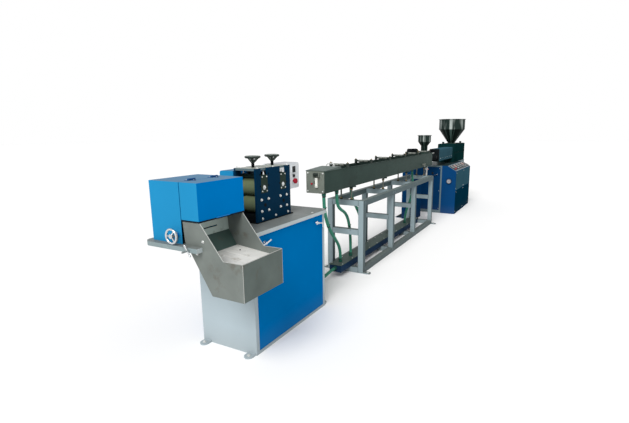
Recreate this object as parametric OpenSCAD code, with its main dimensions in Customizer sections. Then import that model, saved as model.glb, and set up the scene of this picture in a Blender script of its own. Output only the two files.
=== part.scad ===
// Drinking straw making line: extruder, co-extruder, water tank on its frame, haul-off and cutter.
// Millimetres. The straw runs along -X, from the die to the cutter; Y = 0 is the straw's own line
// before the whole line is centred, and the floor is Z = 0.

/* [Straw line] */
// height of the straw's centre line
line_z = 1128; // [1000:1:1300]

/* [Haul-off cabinet] */
// cabinet length along the line
cab_len = 1030; // [900:5:1200]
// cabinet depth across the line
cab_depth = 528; // [460:2:640]
// straw line to the cabinet's operator face
cab_front = 271; // [240:1:300]
// straw line over the table top
line_up = 203; // [180:1:240]
// width of the corner strips round a cabinet panel
strip_w = 35; // [20:1:60]
// height of the plain strip under a cabinet panel
sill_h = 25; // [10:1:60]
// thickness of a lift-off panel
panel_t = 4; // [2:0.5:8]
// joint gap round a panel
panel_gap = 2; // [1:0.5:4]
// panel latch from a panel's end
latch_in = 100; // [60:1:160]
// panel latch under a panel's top
latch_drop = 65; // [45:1:100]
// anchor tab length
tab_len = 75; // [71:1:110]
// anchor tab width
tab_w = 70; // [50:1:74]
// anchor tab thickness
tab_t = 12; // [8:1:20]
// anchor hole radius
tab_hole_r = 9; // [5:0.5:14]
// anchor tab centre to the cabinet's side
tab_inset = 45; // [40:1:120]

/* [Table] */
// table plate thickness
table_t = 30; // [15:1:40]
// table reach past the cutter housing
table_reach = 47; // [40:1:160]
// straw line to the front end of the table strip past the cutter
table_strip = 215; // [205:1:250]
// table reach past the cabinet at the tank end
table_tail = 60; // [20:1:120]
// table lip past the cabinet's sides
table_lip = 12; // [0:1:30]
// table corner radius
table_r = 60; // [10:1:80]

/* [Cutter] */
// cutter housing length
cutter_len = 424; // [360:2:440]
// housing end past the cabinet end face, towards the haul-off
cutter_in = 16; // [5:1:60]
// straw line to the hood's front
cutter_front = 200; // [180:1:230]
// straw line to the housing's back
cutter_back = 222; // [200:1:245]
// housing height over the table
cutter_h = 396; // [340:1:440]
// straw line to the hood's hinge seam
seam_y = 46; // [30:1:60]
// hood's lower edge over the table
hood_edge = 152; // [140:1:165]
// housing sheet thickness
sheet = 3; // [2:0.5:5]
// gap between the hood and what stands still
hood_gap = 5; // [4:0.5:10]
// hinge knuckle radius
knuckle_r = 7; // [6:0.5:12]
// hinge pin radius
hinge_pin_r = 3; // [2:0.5:4]
// hinge length
hinge_len = 60; // [50:1:90]
// hinge centre to the housing's end
hinge_inset = 110; // [60:1:130]
// straw entry hole radius
entry_r = 22; // [14:1:30]

/* [Fly knife] */
// knife axis behind the straw line
knife_y = 88; // [80:1:95]
// knife axis under the straw line
knife_drop = 43; // [30:1:55]
// knife swing radius
knife_r = 118; // [108:1:124]
// knife plate thickness
knife_t = 4; // [3:0.5:6]
// motor radius
knife_motor_r = 50; // [40:1:54]
// motor length
knife_motor_len = 260; // [180:2:300]
// knife shaft radius
knife_shaft_r = 12; // [8:0.5:16]

/* [Chute] */
// straw line to the chute's front wall
chute_reach = 528; // [480:2:580]
// gap from the chute to the cabinet's end face
chute_gap = 6; // [5:0.5:15]
// chute sheet thickness
chute_t = 3; // [2:0.5:5]
// straw line to the chute's back plate at its top
chute_back = 60; // [55:1:70]
// straw line to the front of the chute's mouth
chute_mouth = 207; // [190:1:230]
// length of the tray's level rim
tray_rim = 150; // [100:1:200]
// tray rim under the table top
tray_rim_drop = 68; // [40:1:100]
// tray bottom under the table top
tray_drop = 308; // [240:1:340]
// length of the tray's level bottom
tray_bottom = 253; // [220:1:262]
// tray floor's front edge under the rim
tray_depth = 60; // [50:1:120]
// tray floor's back edge under the table top
tray_back = 90; // [80:1:110]
// chute bend over the table top
knee_rise = 20; // [8:1:40]
// width of the slot in the back plate
slot_w = 123; // [80:1:160]
// height of the slot in the back plate
slot_h = 8; // [5:1:14]
// slot's middle past the chute's middle, towards the haul-off
slot_shift = 25; // [0:1:60]
// slot over the table top
slot_up = 66; // [50:1:90]
// height of the hem on the tray floor's front edge
tray_hem = 14; // [8:1:24]

/* [Adjusting wheel and clamp] */
// cutter handwheel radius to the rim's centre
hand_r = 46; // [38:1:57]
// cutter handwheel rim radius
hand_rim = 6; // [4:0.5:8]
// wheel shaft radius
hand_shaft_r = 9; // [7:0.5:12]
// wheel stand-off from the housing
hand_off = 45; // [40:1:60]
// wheel rim over the table
hand_gap = 6; // [5:1:20]
// straw line to the wheel's axis
hand_y = 6; // [-40:1:8]
// clamp stem radius
clamp_stem_r = 6; // [4:0.5:8]
// clamp bar half length
clamp_bar = 36; // [30:1:46]
// clamp stem reach past the table
clamp_out = 60; // [50:1:90]
// straw line to the clamp
clamp_y = 152; // [120:1:180]
// clamp bar's middle past the table
clamp_bar_out = 16; // [14:1:30]

/* [Haul-off] */
// first roller axis from the cabinet's cutter end
roller_x = 380; // [340:1:420]
// distance between the two roller pairs
roller_pitch = 252; // [220:1:280]
// roller radius
roller_r = 66; // [50:0.5:70]
// nip between a pair at rest
nip = 6; // [4:0.5:10]
// roller face length
roller_len = 164; // [120:2:172]
// gap between a roller's end and a side plate
roller_side = 8; // [5:0.5:12]
// roller shaft radius
shaft_r = 20; // [14:0.5:26]
// side plate thickness
plate_t = 16; // [12:1:24]
// side plate past the roller axes, lengthwise
plate_over = 104; // [90:1:120]
// skin left over a lower bearing, which ends blind in its plate
bearing_cap = 4; // [3:0.5:6]
// thickness of the sole under the haul-off
sole_t = 8; // [5:1:12]
// sole past the plates, towards the tank
sole_over = 36; // [10:1:48]
// room under the bridge over a lifted yoke
head_room = 19; // [14:1:40]
// width of the slot that guides a bearing block
guide_w = 84; // [70:1:96]
// bearing block height over the upper shaft
block_up = 70; // [60:1:80]
// bearing block height under the upper shaft
block_down = 42; // [36:0.5:46]
// yoke bar height
yoke_h = 26; // [20:1:30]
// lift of an upper roller
lift = 15; // [8:1:20]
// bridge plate thickness
bridge_t = 18; // [12:1:30]
// press screw radius
screw_r = 10; // [8:0.5:14]
// press handwheel radius
press_r = 59; // [45:1:70]
// press handwheel height over the bridge
press_up = 82; // [75:1:120]
// drop of a press handwheel's hub under its rim
press_dish = 46; // [20:1:50]
// tie bar radius
tie_r = 11; // [8:0.5:16]

/* [Drive cover and control box] */
// drive cover length
cover_len = 460; // [400:2:560]
// drive cover depth
cover_depth = 138; // [110:1:142]
// drive cover height
cover_h = 400; // [340:1:440]
// width of the slant on the drive cover's back edge
cover_edge = 12; // [4:1:40]
// control box length
ctrl_len = 375; // [300:1:420]
// control box depth
ctrl_depth = 150; // [120:1:170]
// control box height
ctrl_h = 242; // [200:1:280]
// control box underside over the table
ctrl_up = 173; // [120:1:220]
// haul-off plates to the control box
ctrl_gap = 54; // [30:1:90]
// control post to the table's tank end
post_back = 170; // [140:1:220]
// straw line to the control box face
ctrl_y = 79; // [70:1:100]
// control box corner radius
ctrl_r = 25; // [8:1:40]
// stop button stem radius
button_r = 15; // [10:0.5:20]
// stop button over the control box's underside
button_up = 70; // [50:1:180]
// size of the control post's foot
post_foot = 110; // [80:1:130]

/* [Tank frame] */
// frame start behind the tank's outlet end
frame_in = 669; // [600:1:740]
// frame end before the tank's inlet end
frame_out = 336; // [260:1:420]
// frame width
frame_w = 460; // [400:2:560]
// frame tube size
tube = 64; // [40:1:80]
// middle crossbar's underside
mid_bar = 450; // [300:1:600]
// number of portals
portals = 4; // [3:1:6]

/* [Water tank] */
// table end to the tank
tank_gap = 251; // [180:1:320]
// tank length
tank_len = 4036; // [3600:2:4200]
// tank width
tank_w = 210; // [190:1:240]
// tank height
tank_h = 222; // [180:1:240]
// tank wall thickness
tank_t = 4; // [2:0.5:6]
// rim flange width
rim_w = 6; // [4:1:20]
// length of the lid at the outlet end
lid_len = 350; // [250:1:420]
// rise of the lid
lid_rise = 20; // [10:1:40]
// straw hole radius in the tank's ends
tank_hole_r = 20; // [12:1:28]
// levelling screw radius
level_r = 9; // [6:0.5:12]
// levelling screw distance from the line
level_y = 66; // [50:1:80]
// levelling screw length under the saddle
level_len = 148; // [120:1:200]
// saddle bar thickness
saddle_t = 14; // [8:1:24]

/* [Return trough] */
// trough reach before the frame
trough_lead = 250; // [180:1:320]
// trough end before the frame's far end
trough_short = 341; // [280:1:420]
// trough width
trough_w = 146; // [120:1:200]
// trough height
trough_h = 80; // [60:1:120]
// trough lid thickness
trough_lid_t = 6; // [4:1:10]

/* [Hoses] */
// hose outside radius
hose_r = 17; // [12:0.5:20]
// wall of the spigot that a hose ends on
spigot_t = 5; // [3:0.5:8]
// length of a spigot
spigot_len = 22; // [15:1:30]

/* [Extruder] */
// tank to the extruder base
ext_gap = 689; // [640:1:760]
// base length
ext_len = 2204; // [2190:2:2400]
// straw line over the base
barrel_up = 178; // [150:1:220]
// straw line to the base's operator side
ext_front = 132; // [120:1:160]
// straw line to the base's back
ext_back = 330; // [260:1:360]
// latch on the end panel under the base's top
ext_latch_drop = 178; // [120:1:240]
// gauge axis under the base's top
gauge_drop = 300; // [240:1:360]
// gauge axis from the control cabinet's front
gauge_in = 130; // [80:1:180]
// control cabinet length
con_len = 1471; // [1200:1:1500]
// control cabinet depth
con_depth = 276; // [220:1:320]
// console slope's fall
con_drop = 103; // [60:1:160]
// console slope's run
con_slope = 174; // [120:1:200]
// top of the lower dark panel
con_band = 470; // [380:1:560]
// gearbox start from the base's die end
gear_x = 1034; // [900:1:1050]
// base's end past the gearbox
gear_short = 20; // [20:1:80]
// gearbox width
gear_w = 354; // [320:1:380]
// straw line to the gearbox's operator side
gear_front = 126; // [110:1:132]
// gearbox corner radius
gear_r = 20; // [8:1:40]
// height of the flange round the gearbox's foot
gear_flange_h = 22; // [12:1:30]
// width of the flange round the gearbox's foot
gear_flange = 14; // [8:1:18]
// radius of the thrust bearing's cap on the gearbox's end
gear_cap_r = 95; // [70:1:105]
// gearbox height
gear_h = 395; // [340:1:420]
// barrel cover width
cov_w = 190; // [160:1:230]
// barrel cover top over the straw line
cov_up = 152; // [120:1:160]
// barrel cover underside below the straw line
cov_down = 90; // [80:1:120]
// barrel cover's reach past the base towards the tank
cov_reach = 126; // [60:1:200]
// barrel cover corner radius
cov_r = 18; // [6:1:40]
// barrel cover sections
cov_parts = 3; // [2:1:5]
// depth of the joints in the barrel cover
seam_deep = 3; // [2:0.5:5]
// die head radius
die_r = 75; // [60:1:90]
// die head length
die_len = 200; // [150:1:240]
// thickness of the plate on the barrel cover's end
die_plate = 12; // [6:1:20]
// die clamp flange's end from the barrel cover
die_flange = 40; // [30:1:50]
// nozzle radius
nozzle_r = 24; // [14:1:34]
// nozzle length
nozzle_len = 45; // [30:1:70]

/* [Hoppers] */
// main hopper radius
hop_r = 275; // [220:1:320]
// main hopper straight height
hop_cyl = 210; // [140:1:280]
// main hopper cone height
hop_cone = 285; // [220:1:340]
// main hopper mouth radius
hop_mouth = 80; // [60:1:110]
// hopper wall thickness
hop_t = 4; // [2:0.5:6]
// main hopper axis from the gearbox's die end
hop_x = 262; // [240:1:320]
// hopper neck height
hop_neck = 30; // [20:1:60]
// small hopper radius
cohop_r = 118; // [100:1:140]
// small hopper straight height
cohop_cyl = 115; // [90:1:170]
// small hopper cone height
cohop_cone = 80; // [60:1:160]
// small hopper mouth radius
cohop_mouth = 62; // [40:1:70]
// small hopper neck height
cohop_neck = 130; // [20:1:160]
// small hopper's seat over the drive block
cohop_rise = 8; // [6:1:80]

/* [Co-extruder] */
// stand length along the line
stand_len = 400; // [340:1:460]
// stand depth across the line
stand_depth = 250; // [200:1:260]
// stand start before the drive block's middle
stand_lead = 220; // [180:1:240]
// stand's far side behind the drive block's middle
stand_side = 60; // [40:1:90]
// stand foot plate length
stand_foot = 320; // [260:1:400]
// stand distance before the die
stand_dx = 420; // [380:1:480]
// stand distance behind the line
stand_dy = 330; // [290:1:350]
// stand foot reach behind the line, which is the line's far side
stand_reach = 528; // [500:2:580]
// drive block length
drive_len = 190; // [150:1:230]
// drive block width
drive_w = 150; // [120:1:180]
// drive block height
drive_h = 160; // [130:1:230]
// co-extruder motor radius
comotor_r = 48; // [36:1:60]
// co-extruder motor length
comotor_len = 200; // [150:1:210]
// length of a motor end shield
shield_len = 34; // [20:1:50]
// cooling fins round the motor
fins = 18; // [12:1:24]
// co-extruder barrel radius
cobarrel_r = 38; // [28:1:48]
// small hopper's place along the barrel, from the stand
cohop_at = 320; // [290:1:350]

/* [Fits] */
// radial clearance of a shaft in its bore
run_fit = 0.05; // [0.02:0.01:0.1]
// side clearance of a sliding block
slide_fit = 0.5; // [0.3:0.1:1]

/* [Hidden] */
$fn = 64;

// ends of the line, which centre it on the origin
cut_x1 = cutter_in;
cut_x0 = cutter_in - cutter_len;
table_x0 = cut_x0 - table_reach;
x_min = table_x0 - clamp_out;
x_max = cab_len + table_tail + tank_gap + tank_len + ext_gap + ext_len;
mid = [(x_min + x_max) / 2, (stand_reach - chute_reach) / 2, 0];

// cabinet and table
cab_y0 = -cab_front;
cab_y1 = cab_depth - cab_front;
table_z = line_z - line_up;
cab_top = table_z - table_t;
table_x1 = cab_len + table_tail;

// cutter housing
cut_z1 = table_z + cutter_h;
hood_z = table_z + hood_edge;
hinge_z = cut_z1 + knuckle_r + slide_fit;
knife_z = line_z - knife_drop;
hand_z = hand_r + hand_rim + hand_gap;

// chute outline, across the line
chute_x0 = cut_x0;
chute_x1 = -chute_gap;
chute_z1 = hood_z - hood_gap;
rim_z = table_z - tray_rim_drop;
low_z = table_z - tray_drop;
chute_top = [-chute_back, chute_z1];
chute_knee = [-chute_back - 10, table_z + knee_rise];
chute_heel = [tray_bottom - chute_reach, low_z];
chute_toe = [-chute_reach, low_z];
chute_rim = [-chute_reach, rim_z];
chute_bend = [tray_rim - chute_reach, rim_z];
chute_lip = [-chute_mouth, chute_z1];
slot_x = (chute_x0 + chute_x1) / 2 + slot_shift;

// haul-off
haul_x = [roller_x, roller_x + roller_pitch];
low_axis = line_z - nip / 2 - roller_r;
up_axis = line_z + nip / 2 + roller_r;
plate_in = roller_len / 2 + roller_side;
plate_out = plate_in + plate_t;
bearing_out = plate_out - bearing_cap;
plate_x0 = roller_x - plate_over;
plate_x1 = roller_x + roller_pitch + plate_over;
slot_floor = up_axis - block_down - slide_fit;
block_top = up_axis + block_up;
yoke_z0 = up_axis + roller_r + roller_side;
yoke_z1 = yoke_z0 + yoke_h;
bridge_z0 = yoke_z1 + lift + head_room;
plate_top = bridge_z0 + bridge_t;
plate_z0 = table_z + sole_t;
base_h = low_axis - roller_r - roller_side - table_z;
press_z = plate_top + press_up;

// control box
ctrl_x0 = plate_x1 + ctrl_gap;
ctrl_x1 = ctrl_x0 + ctrl_len;
ctrl_z0 = table_z + ctrl_up;

// frame, tank and trough
tank_x = table_x1 + tank_gap;
tank_x1 = tank_x + tank_len;
frame_x = tank_x + frame_in;
frame_len = tank_len - frame_in - frame_out;
frame_y = frame_w / 2;
portal_x = [for (i = [0 : portals - 1]) round(frame_x + i * (frame_len - tube) / (portals - 1))];
tank_z0 = line_z - tank_h / 2;
tank_z1 = tank_z0 + tank_h;
trough_x = frame_x - trough_lead;
trough_len = frame_len + trough_lead - trough_short;
trough_z0 = tube;
frame_h = tank_z0 - saddle_t - level_len;

// extruder
ext_x = tank_x1 + ext_gap;
ext_h = line_z - barrel_up;
ext_x1 = ext_x + ext_len;
con_y0 = -ext_front - con_depth;
gear_x0 = ext_x + gear_x;
gear_z1 = ext_h + gear_h;
gear_len = ext_len - gear_x - gear_short;
cov_x0 = ext_x - cov_reach;
die_x = cov_x0 - die_len / 2;
hopper_x = gear_x0 + hop_x;

// co-extruder axis, from the stand to the die
co_x = die_x - stand_dx;
co_len = norm([stand_dx, stand_dy]);
co_turn = atan2(-stand_dy, stand_dx);
port_len = die_r + 57;
motor_at = -40;
throat = cohop_mouth + 3;

// hose routes: each leaves one spigot straight, swings over and comes straight onto the other
tank_y = tank_w / 2;
trough_y = trough_w / 2;
trough_z1 = trough_z0 + trough_h;
hose_top = tank_z0 - spigot_len;
hose_low = trough_z1 + trough_lid_t + spigot_len;
hose_mid = (trough_z0 + trough_z1) / 2;
hose_steps = 14;
hose_lead = 12;
function lead_from(a, way) = a + hose_lead * way / norm(way);
function hose_bend(a, b, leave, arrive, swing, sag) = [for (i = [0 : hose_steps]) let (t = i / hose_steps, u = 1 - t)
  u * u * u * a + 3 * u * u * t * (a + leave) + 3 * u * t * t * (b + arrive) + t * t * t * b
    + pow(sin(180 * t), 2) * [0, swing, -sag]];
function hose_way(a, b, leave, arrive, swing, sag) =
  concat([a], hose_bend(lead_from(a, leave), lead_from(b, arrive), leave, arrive, swing, sag), [b]);
function drop_way(x0, y0, x1, down, up, swing) =
  hose_way([x0, y0, hose_top], [x1, 0, hose_low], [0, 0, -down], [0, 0, up], swing, 0);
hose_1_way = drop_way(tank_x + 28, -80, tank_x + 547, 500, 275, -20);
hose_2_way = drop_way(tank_x + 304, -80, tank_x + 819, 350, 750, 0);
hose_3_way = drop_way(tank_x + 779, -20, tank_x + 1179, 250, 550, 0);
hose_4_way = drop_way(tank_x1 - 977, -40, tank_x1 - 1167, 200, 350, -60);
hose_5_way = hose_way([trough_x - spigot_len, 0, hose_mid + 6], [cab_len + spigot_len, 0, hose_mid + 14],
  [-200, 0, 0], [200, 0, 0], 0, 30);
drop_ways = [hose_1_way, hose_2_way, hose_3_way, hose_4_way];

// puts a piece of the line about the line's own middle
module centred() translate(-mid) children();

// plain shapes that repeat
module block(x, y, z) translate([x[0], y[0], z[0]]) cube([x[1] - x[0], y[1] - y[0], z[1] - z[0]]);
module along_x(x0, x1) translate([x0, 0, 0]) rotate([90, 0, 90]) linear_extrude(x1 - x0) children();
module along_y(y0, y1) translate([0, y1, 0]) rotate([90, 0, 0]) linear_extrude(y1 - y0) children();
module rod_x(x0, x1, y, z, r) translate([x0, y, z]) rotate([0, 90, 0]) cylinder(r = r, h = x1 - x0);
module rod_y(y0, y1, x, z, r) translate([x, y1, z]) rotate([90, 0, 0]) cylinder(r = r, h = y1 - y0);
module rod_z(z0, z1, x, y, r) translate([x, y, z0]) cylinder(r = r, h = z1 - z0);

// rectangle with four round corners, drawn from its plain parts
module round_rect(x, y, r) {
  translate([x[0] + r, y[0]]) square([x[1] - x[0] - 2 * r, y[1] - y[0]]);
  translate([x[0], y[0] + r]) square([x[1] - x[0], y[1] - y[0] - 2 * r]);
  for (cx = [x[0] + r, x[1] - r], cy = [y[0] + r, y[1] - r]) translate([cx, cy]) circle(r);
}

// outline of a bent sheet that follows a polyline on its left side
function left_of(a, b) = let (d = (b - a) / norm(b - a)) [-d[1], d[0]];
function bisect(p, i) = let (
    n = len(p) - 1,
    a = i == 0 ? left_of(p[0], p[1]) : left_of(p[i - 1], p[i]),
    b = i == n ? left_of(p[n - 1], p[n]) : left_of(p[i], p[i + 1]),
    m = (a + b) / norm(a + b)
  ) m / (m * a);
function sheet_outline(p, t) = concat(p, [for (i = [len(p) - 1 : -1 : 0]) p[i] + t * bisect(p, i)]);

// round tube swept along a route, with one ring at each point
function way_dir(p, i) = let (
    n = len(p) - 1,
    d = p[min(i + 1, n)] - p[max(i - 1, 0)]
  ) d / norm(d);
function ring(c, d, r, k) = let (
    s = cross(d, [0, 1, 0]),
    u = s / norm(s),
    v = cross(d, u)
  ) [for (j = [0 : k - 1]) c + r * (cos(360 * j / k) * u + sin(360 * j / k) * v)];
module hose(p, r) {
  k = 12;
  n = len(p);
  rings = [for (i = [0 : n - 1]) each ring(p[i], way_dir(p, i), r, k)];
  sides = [for (i = [0 : n - 2], j = [0 : k - 1])
    [i * k + j, i * k + (j + 1) % k, (i + 1) * k + (j + 1) % k, (i + 1) * k + j]];
  ends = [[for (j = [k - 1 : -1 : 0]) j], [for (j = [0 : k - 1]) (n - 1) * k + j]];
  polyhedron(points = rings, faces = concat(sides, ends), convexity = 6);
}

// Cabinet
module cabinet_body() color("#bcc6d0") difference() {
  block([0, cab_len], [cab_y0, cab_y1], [0, cab_top]);
  for (y = [[cab_y0 - 1, cab_y0 + panel_t], [cab_y1 - panel_t, cab_y1 + 1]])
    block([strip_w, cab_len - strip_w], y, [sill_h, cab_top]);
}

module cabinet_panels() color("#0f66b4")
  for (y = [[cab_y0, cab_y0 + panel_t], [cab_y1 - panel_t, cab_y1]])
    block([strip_w + panel_gap, cab_len - strip_w - panel_gap], y, [sill_h + panel_gap, cab_top - panel_gap]);

module foot_tab(x, y, side) difference() {
  union() {
    block([min(x, x + side * (tab_len - tab_w / 2)), max(x, x + side * (tab_len - tab_w / 2))],
      [y - tab_w / 2, y + tab_w / 2], [0, tab_t]);
    rod_z(0, tab_t, x + side * (tab_len - tab_w / 2), y, tab_w / 2);
  }
  rod_z(-1, tab_t + 1, x + side * (tab_len - tab_w / 2), y, tab_hole_r);
}

module cabinet_feet() color("#b4bcc4")
  for (y = [cab_y0 + tab_inset, cab_y1 - tab_inset]) {
    foot_tab(0, y, -1);
    foot_tab(cab_len, y, 1);
  }

module latch(x, y, z, turn) translate([x, y, z]) rotate([90, 0, 0]) {
  cylinder(r = 16, h = 6);
  cylinder(r = 8, h = 24);
  translate([0, 0, 16]) rotate([0, 0, turn]) linear_extrude(8) {
    translate([0, -6]) square([54, 12]);
    translate([54, 0]) circle(6);
    circle(9);
  }
}

module panel_latches() color("#c9ced2") {
  latch(strip_w + latch_in, cab_y0, cab_top - latch_drop, 15);
  latch(cab_len - strip_w - latch_in, cab_y0, cab_top - latch_drop, 165);
  translate([ext_x - panel_t, latch_drop - latch_in, ext_h - ext_latch_drop]) rotate([0, 0, -90]) latch(0, 0, 0, 200);
}

module table_plate() color("#a9b2b4") difference() {
  translate([0, 0, cab_top]) linear_extrude(table_t) difference() {
    round_rect([table_x0, table_x1], [cab_y0 - table_lip, cab_y1 + table_lip], table_r);
    translate([chute_x0, cab_y0 - table_lip - 1])
      square([chute_x1 - chute_x0, table_lip + 1 + cab_front - chute_back]);
    translate([table_x0 - 1, cab_y0 - table_lip - 1])
      square([table_reach + 2, table_lip + 1 + cab_front - table_strip]);
  }
  rod_x(table_x0 - 1, table_x0 + clamp_in, -clamp_y, clamp_z, clamp_stem_r + run_fit);
}

// Cutter
module cutter_housing() color("#0a78c8") difference() {
  union() {
    difference() {
      block([cut_x0, cut_x1], [-seam_y, cutter_back], [table_z, cut_z1]);
      block([cut_x0 + sheet, cut_x1 - sheet], [-seam_y - 1, cutter_back - sheet], [table_z - 1, cut_z1 - sheet]);
    }
    rod_x(cut_x0 - hand_off + 24, cut_x0, -hand_y, table_z + hand_z, hand_shaft_r + 7);
  }
  rod_x(cut_x1 - sheet - 1, cut_x1 + 1, 0, line_z, entry_r);
  rod_x(cut_x0 - hand_off, cut_x0 + sheet + 1, -hand_y, table_z + hand_z, hand_shaft_r + run_fit);
}

module cutter_hood() color("#0a78c8") difference() {
  block([cut_x0, cut_x1], [-cutter_front, -seam_y - hood_gap], [hood_z, cut_z1]);
  block([cut_x0 + sheet, cut_x1 - sheet], [-cutter_front + sheet, -seam_y], [hood_z - 1, cut_z1 - sheet]);
}

hinge_x = [cut_x0 + hinge_inset, cut_x1 - hinge_inset];
leaf_w = 32;
leaf_t = 3;

module hood_hinge_fixed() color("#20262a") for (x = hinge_x) {
  difference() {
    block([x - hinge_len / 2, x + hinge_len / 2], [-seam_y, leaf_w - seam_y], [cut_z1, cut_z1 + leaf_t]);
    block([x - hinge_len / 6, x + hinge_len / 6], [-seam_y - 1, knuckle_r + 1 - seam_y], [cut_z1 - 1, cut_z1 + leaf_t + 1]);
  }
  for (s = [-1, 1]) difference() {
    rod_x(x + s * hinge_len / 3 - hinge_len / 6, x + s * hinge_len / 3 + hinge_len / 6, -seam_y, hinge_z, knuckle_r);
    block([x - hinge_len, x + hinge_len], [-seam_y - 2 * knuckle_r, -seam_y - knuckle_r + 1], [hinge_z - 20, hinge_z + 20]);
  }
  rod_x(x - hinge_len / 2, x + hinge_len / 2, -seam_y, hinge_z, hinge_pin_r);
}

module hood_hinge_moving() color("#20262a") for (x = hinge_x) difference() {
  union() {
    block([x - hinge_len / 6 + 1, x + hinge_len / 6 - 1], [-seam_y - leaf_w, -seam_y], [cut_z1, cut_z1 + leaf_t]);
    rod_x(x - hinge_len / 6 + 1, x + hinge_len / 6 - 1, -seam_y, hinge_z, knuckle_r);
  }
  rod_x(x - hinge_len, x + hinge_len, -seam_y, hinge_z, hinge_pin_r + run_fit);
}

knife_x = chute_x1 + (cut_x1 - sheet - chute_x1 - knife_t) / 2;
motor_x1 = knife_x - 44;
motor_x0 = motor_x1 - knife_motor_len;

module cutter_motor() color("#39434a") difference() {
  union() {
    rod_x(motor_x0, motor_x1, knife_y, knife_z, knife_motor_r);
    rod_x(motor_x1 - 1, motor_x1 + 12, knife_y, knife_z, knife_shaft_r + 14);
    block([motor_x0 + 40, motor_x1 - 40], [knife_y - 36, knife_y + 36], [table_z, knife_z - 30]);
  }
  rod_x(motor_x1 - 30, motor_x1 + 20, knife_y, knife_z, knife_shaft_r + run_fit);
}

module cutter_knife() color("#c8cdd0") {
  rod_x(motor_x1 - 28, knife_x + knife_t, knife_y, knife_z, knife_shaft_r);
  rod_x(knife_x - 8, knife_x + knife_t, knife_y, knife_z, knife_shaft_r + 14);
  along_x(knife_x, knife_x + knife_t) translate([knife_y, knife_z]) {
    polygon([[0, -22], [0, 22], [-knife_r + 12, 18], [-knife_r, -4], [-knife_r + 12, -18]]);
    polygon([[0, -22], [0, 22], [0.55 * knife_r, 30], [0.55 * knife_r, -30]]);
  }
}

module wheel(r, rim, hub_r, hub_len, spoke_r, dish) {
  rotate_extrude() translate([r, 0]) circle(rim);
  translate([0, 0, -dish]) cylinder(r = hub_r, h = hub_len);
  for (a = [90, 210, 330]) rotate([0, 0, a]) hull() {
    translate([r, 0, 0]) sphere(r = spoke_r, $fn = 12);
    translate([hub_r - 2, 0, hub_len / 2 - dish]) sphere(r = spoke_r, $fn = 12);
  }
}

module cutter_handwheel() color("#d2d6d8") {
  translate([cut_x0 - hand_off, -hand_y, table_z + hand_z]) rotate([0, -90, 0])
    wheel(hand_r, hand_rim, hand_shaft_r + 6, 16, 5, 4);
  rod_x(cut_x0 - hand_off, cut_x0 + sheet + 10, -hand_y, table_z + hand_z, hand_shaft_r);
}

clamp_z = cab_top + table_t / 2;
clamp_in = 30;
module clamp_handle() color("#cfd3d5") {
  rod_x(table_x0 - clamp_out, table_x0 + clamp_in - 2, -clamp_y, clamp_z, clamp_stem_r);
  translate([table_x0 - clamp_bar_out, -clamp_y, clamp_z]) rotate([-33, 0, 0]) {
    rod_z(-clamp_bar, clamp_bar, 0, 0, clamp_stem_r - 1);
    for (s = [-1, 1]) translate([0, 0, s * clamp_bar]) sphere(r = clamp_stem_r + 1, $fn = 16);
  }
}

// Chute
module chute_side() polygon([chute_top, chute_lip, chute_bend, chute_rim, chute_toe, chute_heel, chute_knee]);

module chute_sides() color("#8d8e85") {
  along_x(chute_x0, chute_x0 + chute_t) chute_side();
  along_x(chute_x1 - chute_t, chute_x1) chute_side();
}

// delivery lip under the straw, back plate, slope, tray bottom and front wall, bent from one sheet
module chute_sheet() color("#9a9b93") difference() {
  along_x(chute_x0 + chute_t, chute_x1 - chute_t)
    polygon(sheet_outline([chute_rim, chute_toe, chute_heel, chute_knee, chute_top, [29, line_z - 18]], chute_t));
  block([slot_x - slot_w / 2, slot_x + slot_w / 2],
    [-chute_back - 60, -chute_back + 20], [table_z + slot_up, table_z + slot_up + slot_h]);
}

// loose floor, with a turned-up hem along its front edge
floor_front = [1.5 * chute_t - chute_reach, rim_z - tray_depth];
floor_back = [chute_knee[0] - 74, table_z - tray_back];
module chute_floor() color("#b9b9b0") along_x(chute_x0 + chute_t, chute_x1 - chute_t)
  polygon(sheet_outline([floor_front + [0, tray_hem], floor_front, floor_back], chute_t));

// Haul-off
module haul_off_base() color("#15191c") {
  block([plate_x0, plate_x1 + sole_over], [-plate_out, plate_out], [table_z, plate_z0]);
  block([plate_x0 + 10, plate_x1 - 10], [-plate_in, plate_in], [table_z, table_z + base_h]);
  for (z = [table_z + base_h + 28, bridge_z0 - 36])
    rod_y(-plate_in, plate_in, (haul_x[0] + haul_x[1]) / 2, z, tie_r);
}

module haul_off_plate() difference() {
  translate([plate_x0, plate_z0]) square([plate_x1 - plate_x0, plate_top - plate_z0]);
  for (x = haul_x) translate([x - guide_w / 2, slot_floor]) square([guide_w, plate_top - slot_floor + 1]);
}

module haul_off_plates() color("#0b2f57") difference() {
  for (y = [[-plate_out, -plate_in], [plate_in, plate_out]]) along_y(y[0], y[1]) haul_off_plate();
  for (x = haul_x) rod_y(-bearing_out, bearing_out, x, low_axis, shaft_r + run_fit);
}

module haul_off_bridge() color("#5d7478") difference() {
  block([plate_x0, plate_x1], [-plate_in, plate_in], [bridge_z0, plate_top]);
  for (x = haul_x) rod_z(bridge_z0 - 1, plate_top + 1, x, 0, screw_r + run_fit);
}

module roller(x, z, half) {
  color("#8a8455") rod_y(-roller_len / 2, roller_len / 2, x, z, roller_r);
  color("#8d959a") rod_y(-half, half, x, z, shaft_r);
}
module lower_roller_1() roller(haul_x[0], low_axis, bearing_out - 1);
module lower_roller_2() roller(haul_x[1], low_axis, bearing_out - 1);
module upper_roller_1() roller(haul_x[0], up_axis, plate_out);
module upper_roller_2() roller(haul_x[1], up_axis, plate_out);

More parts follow.
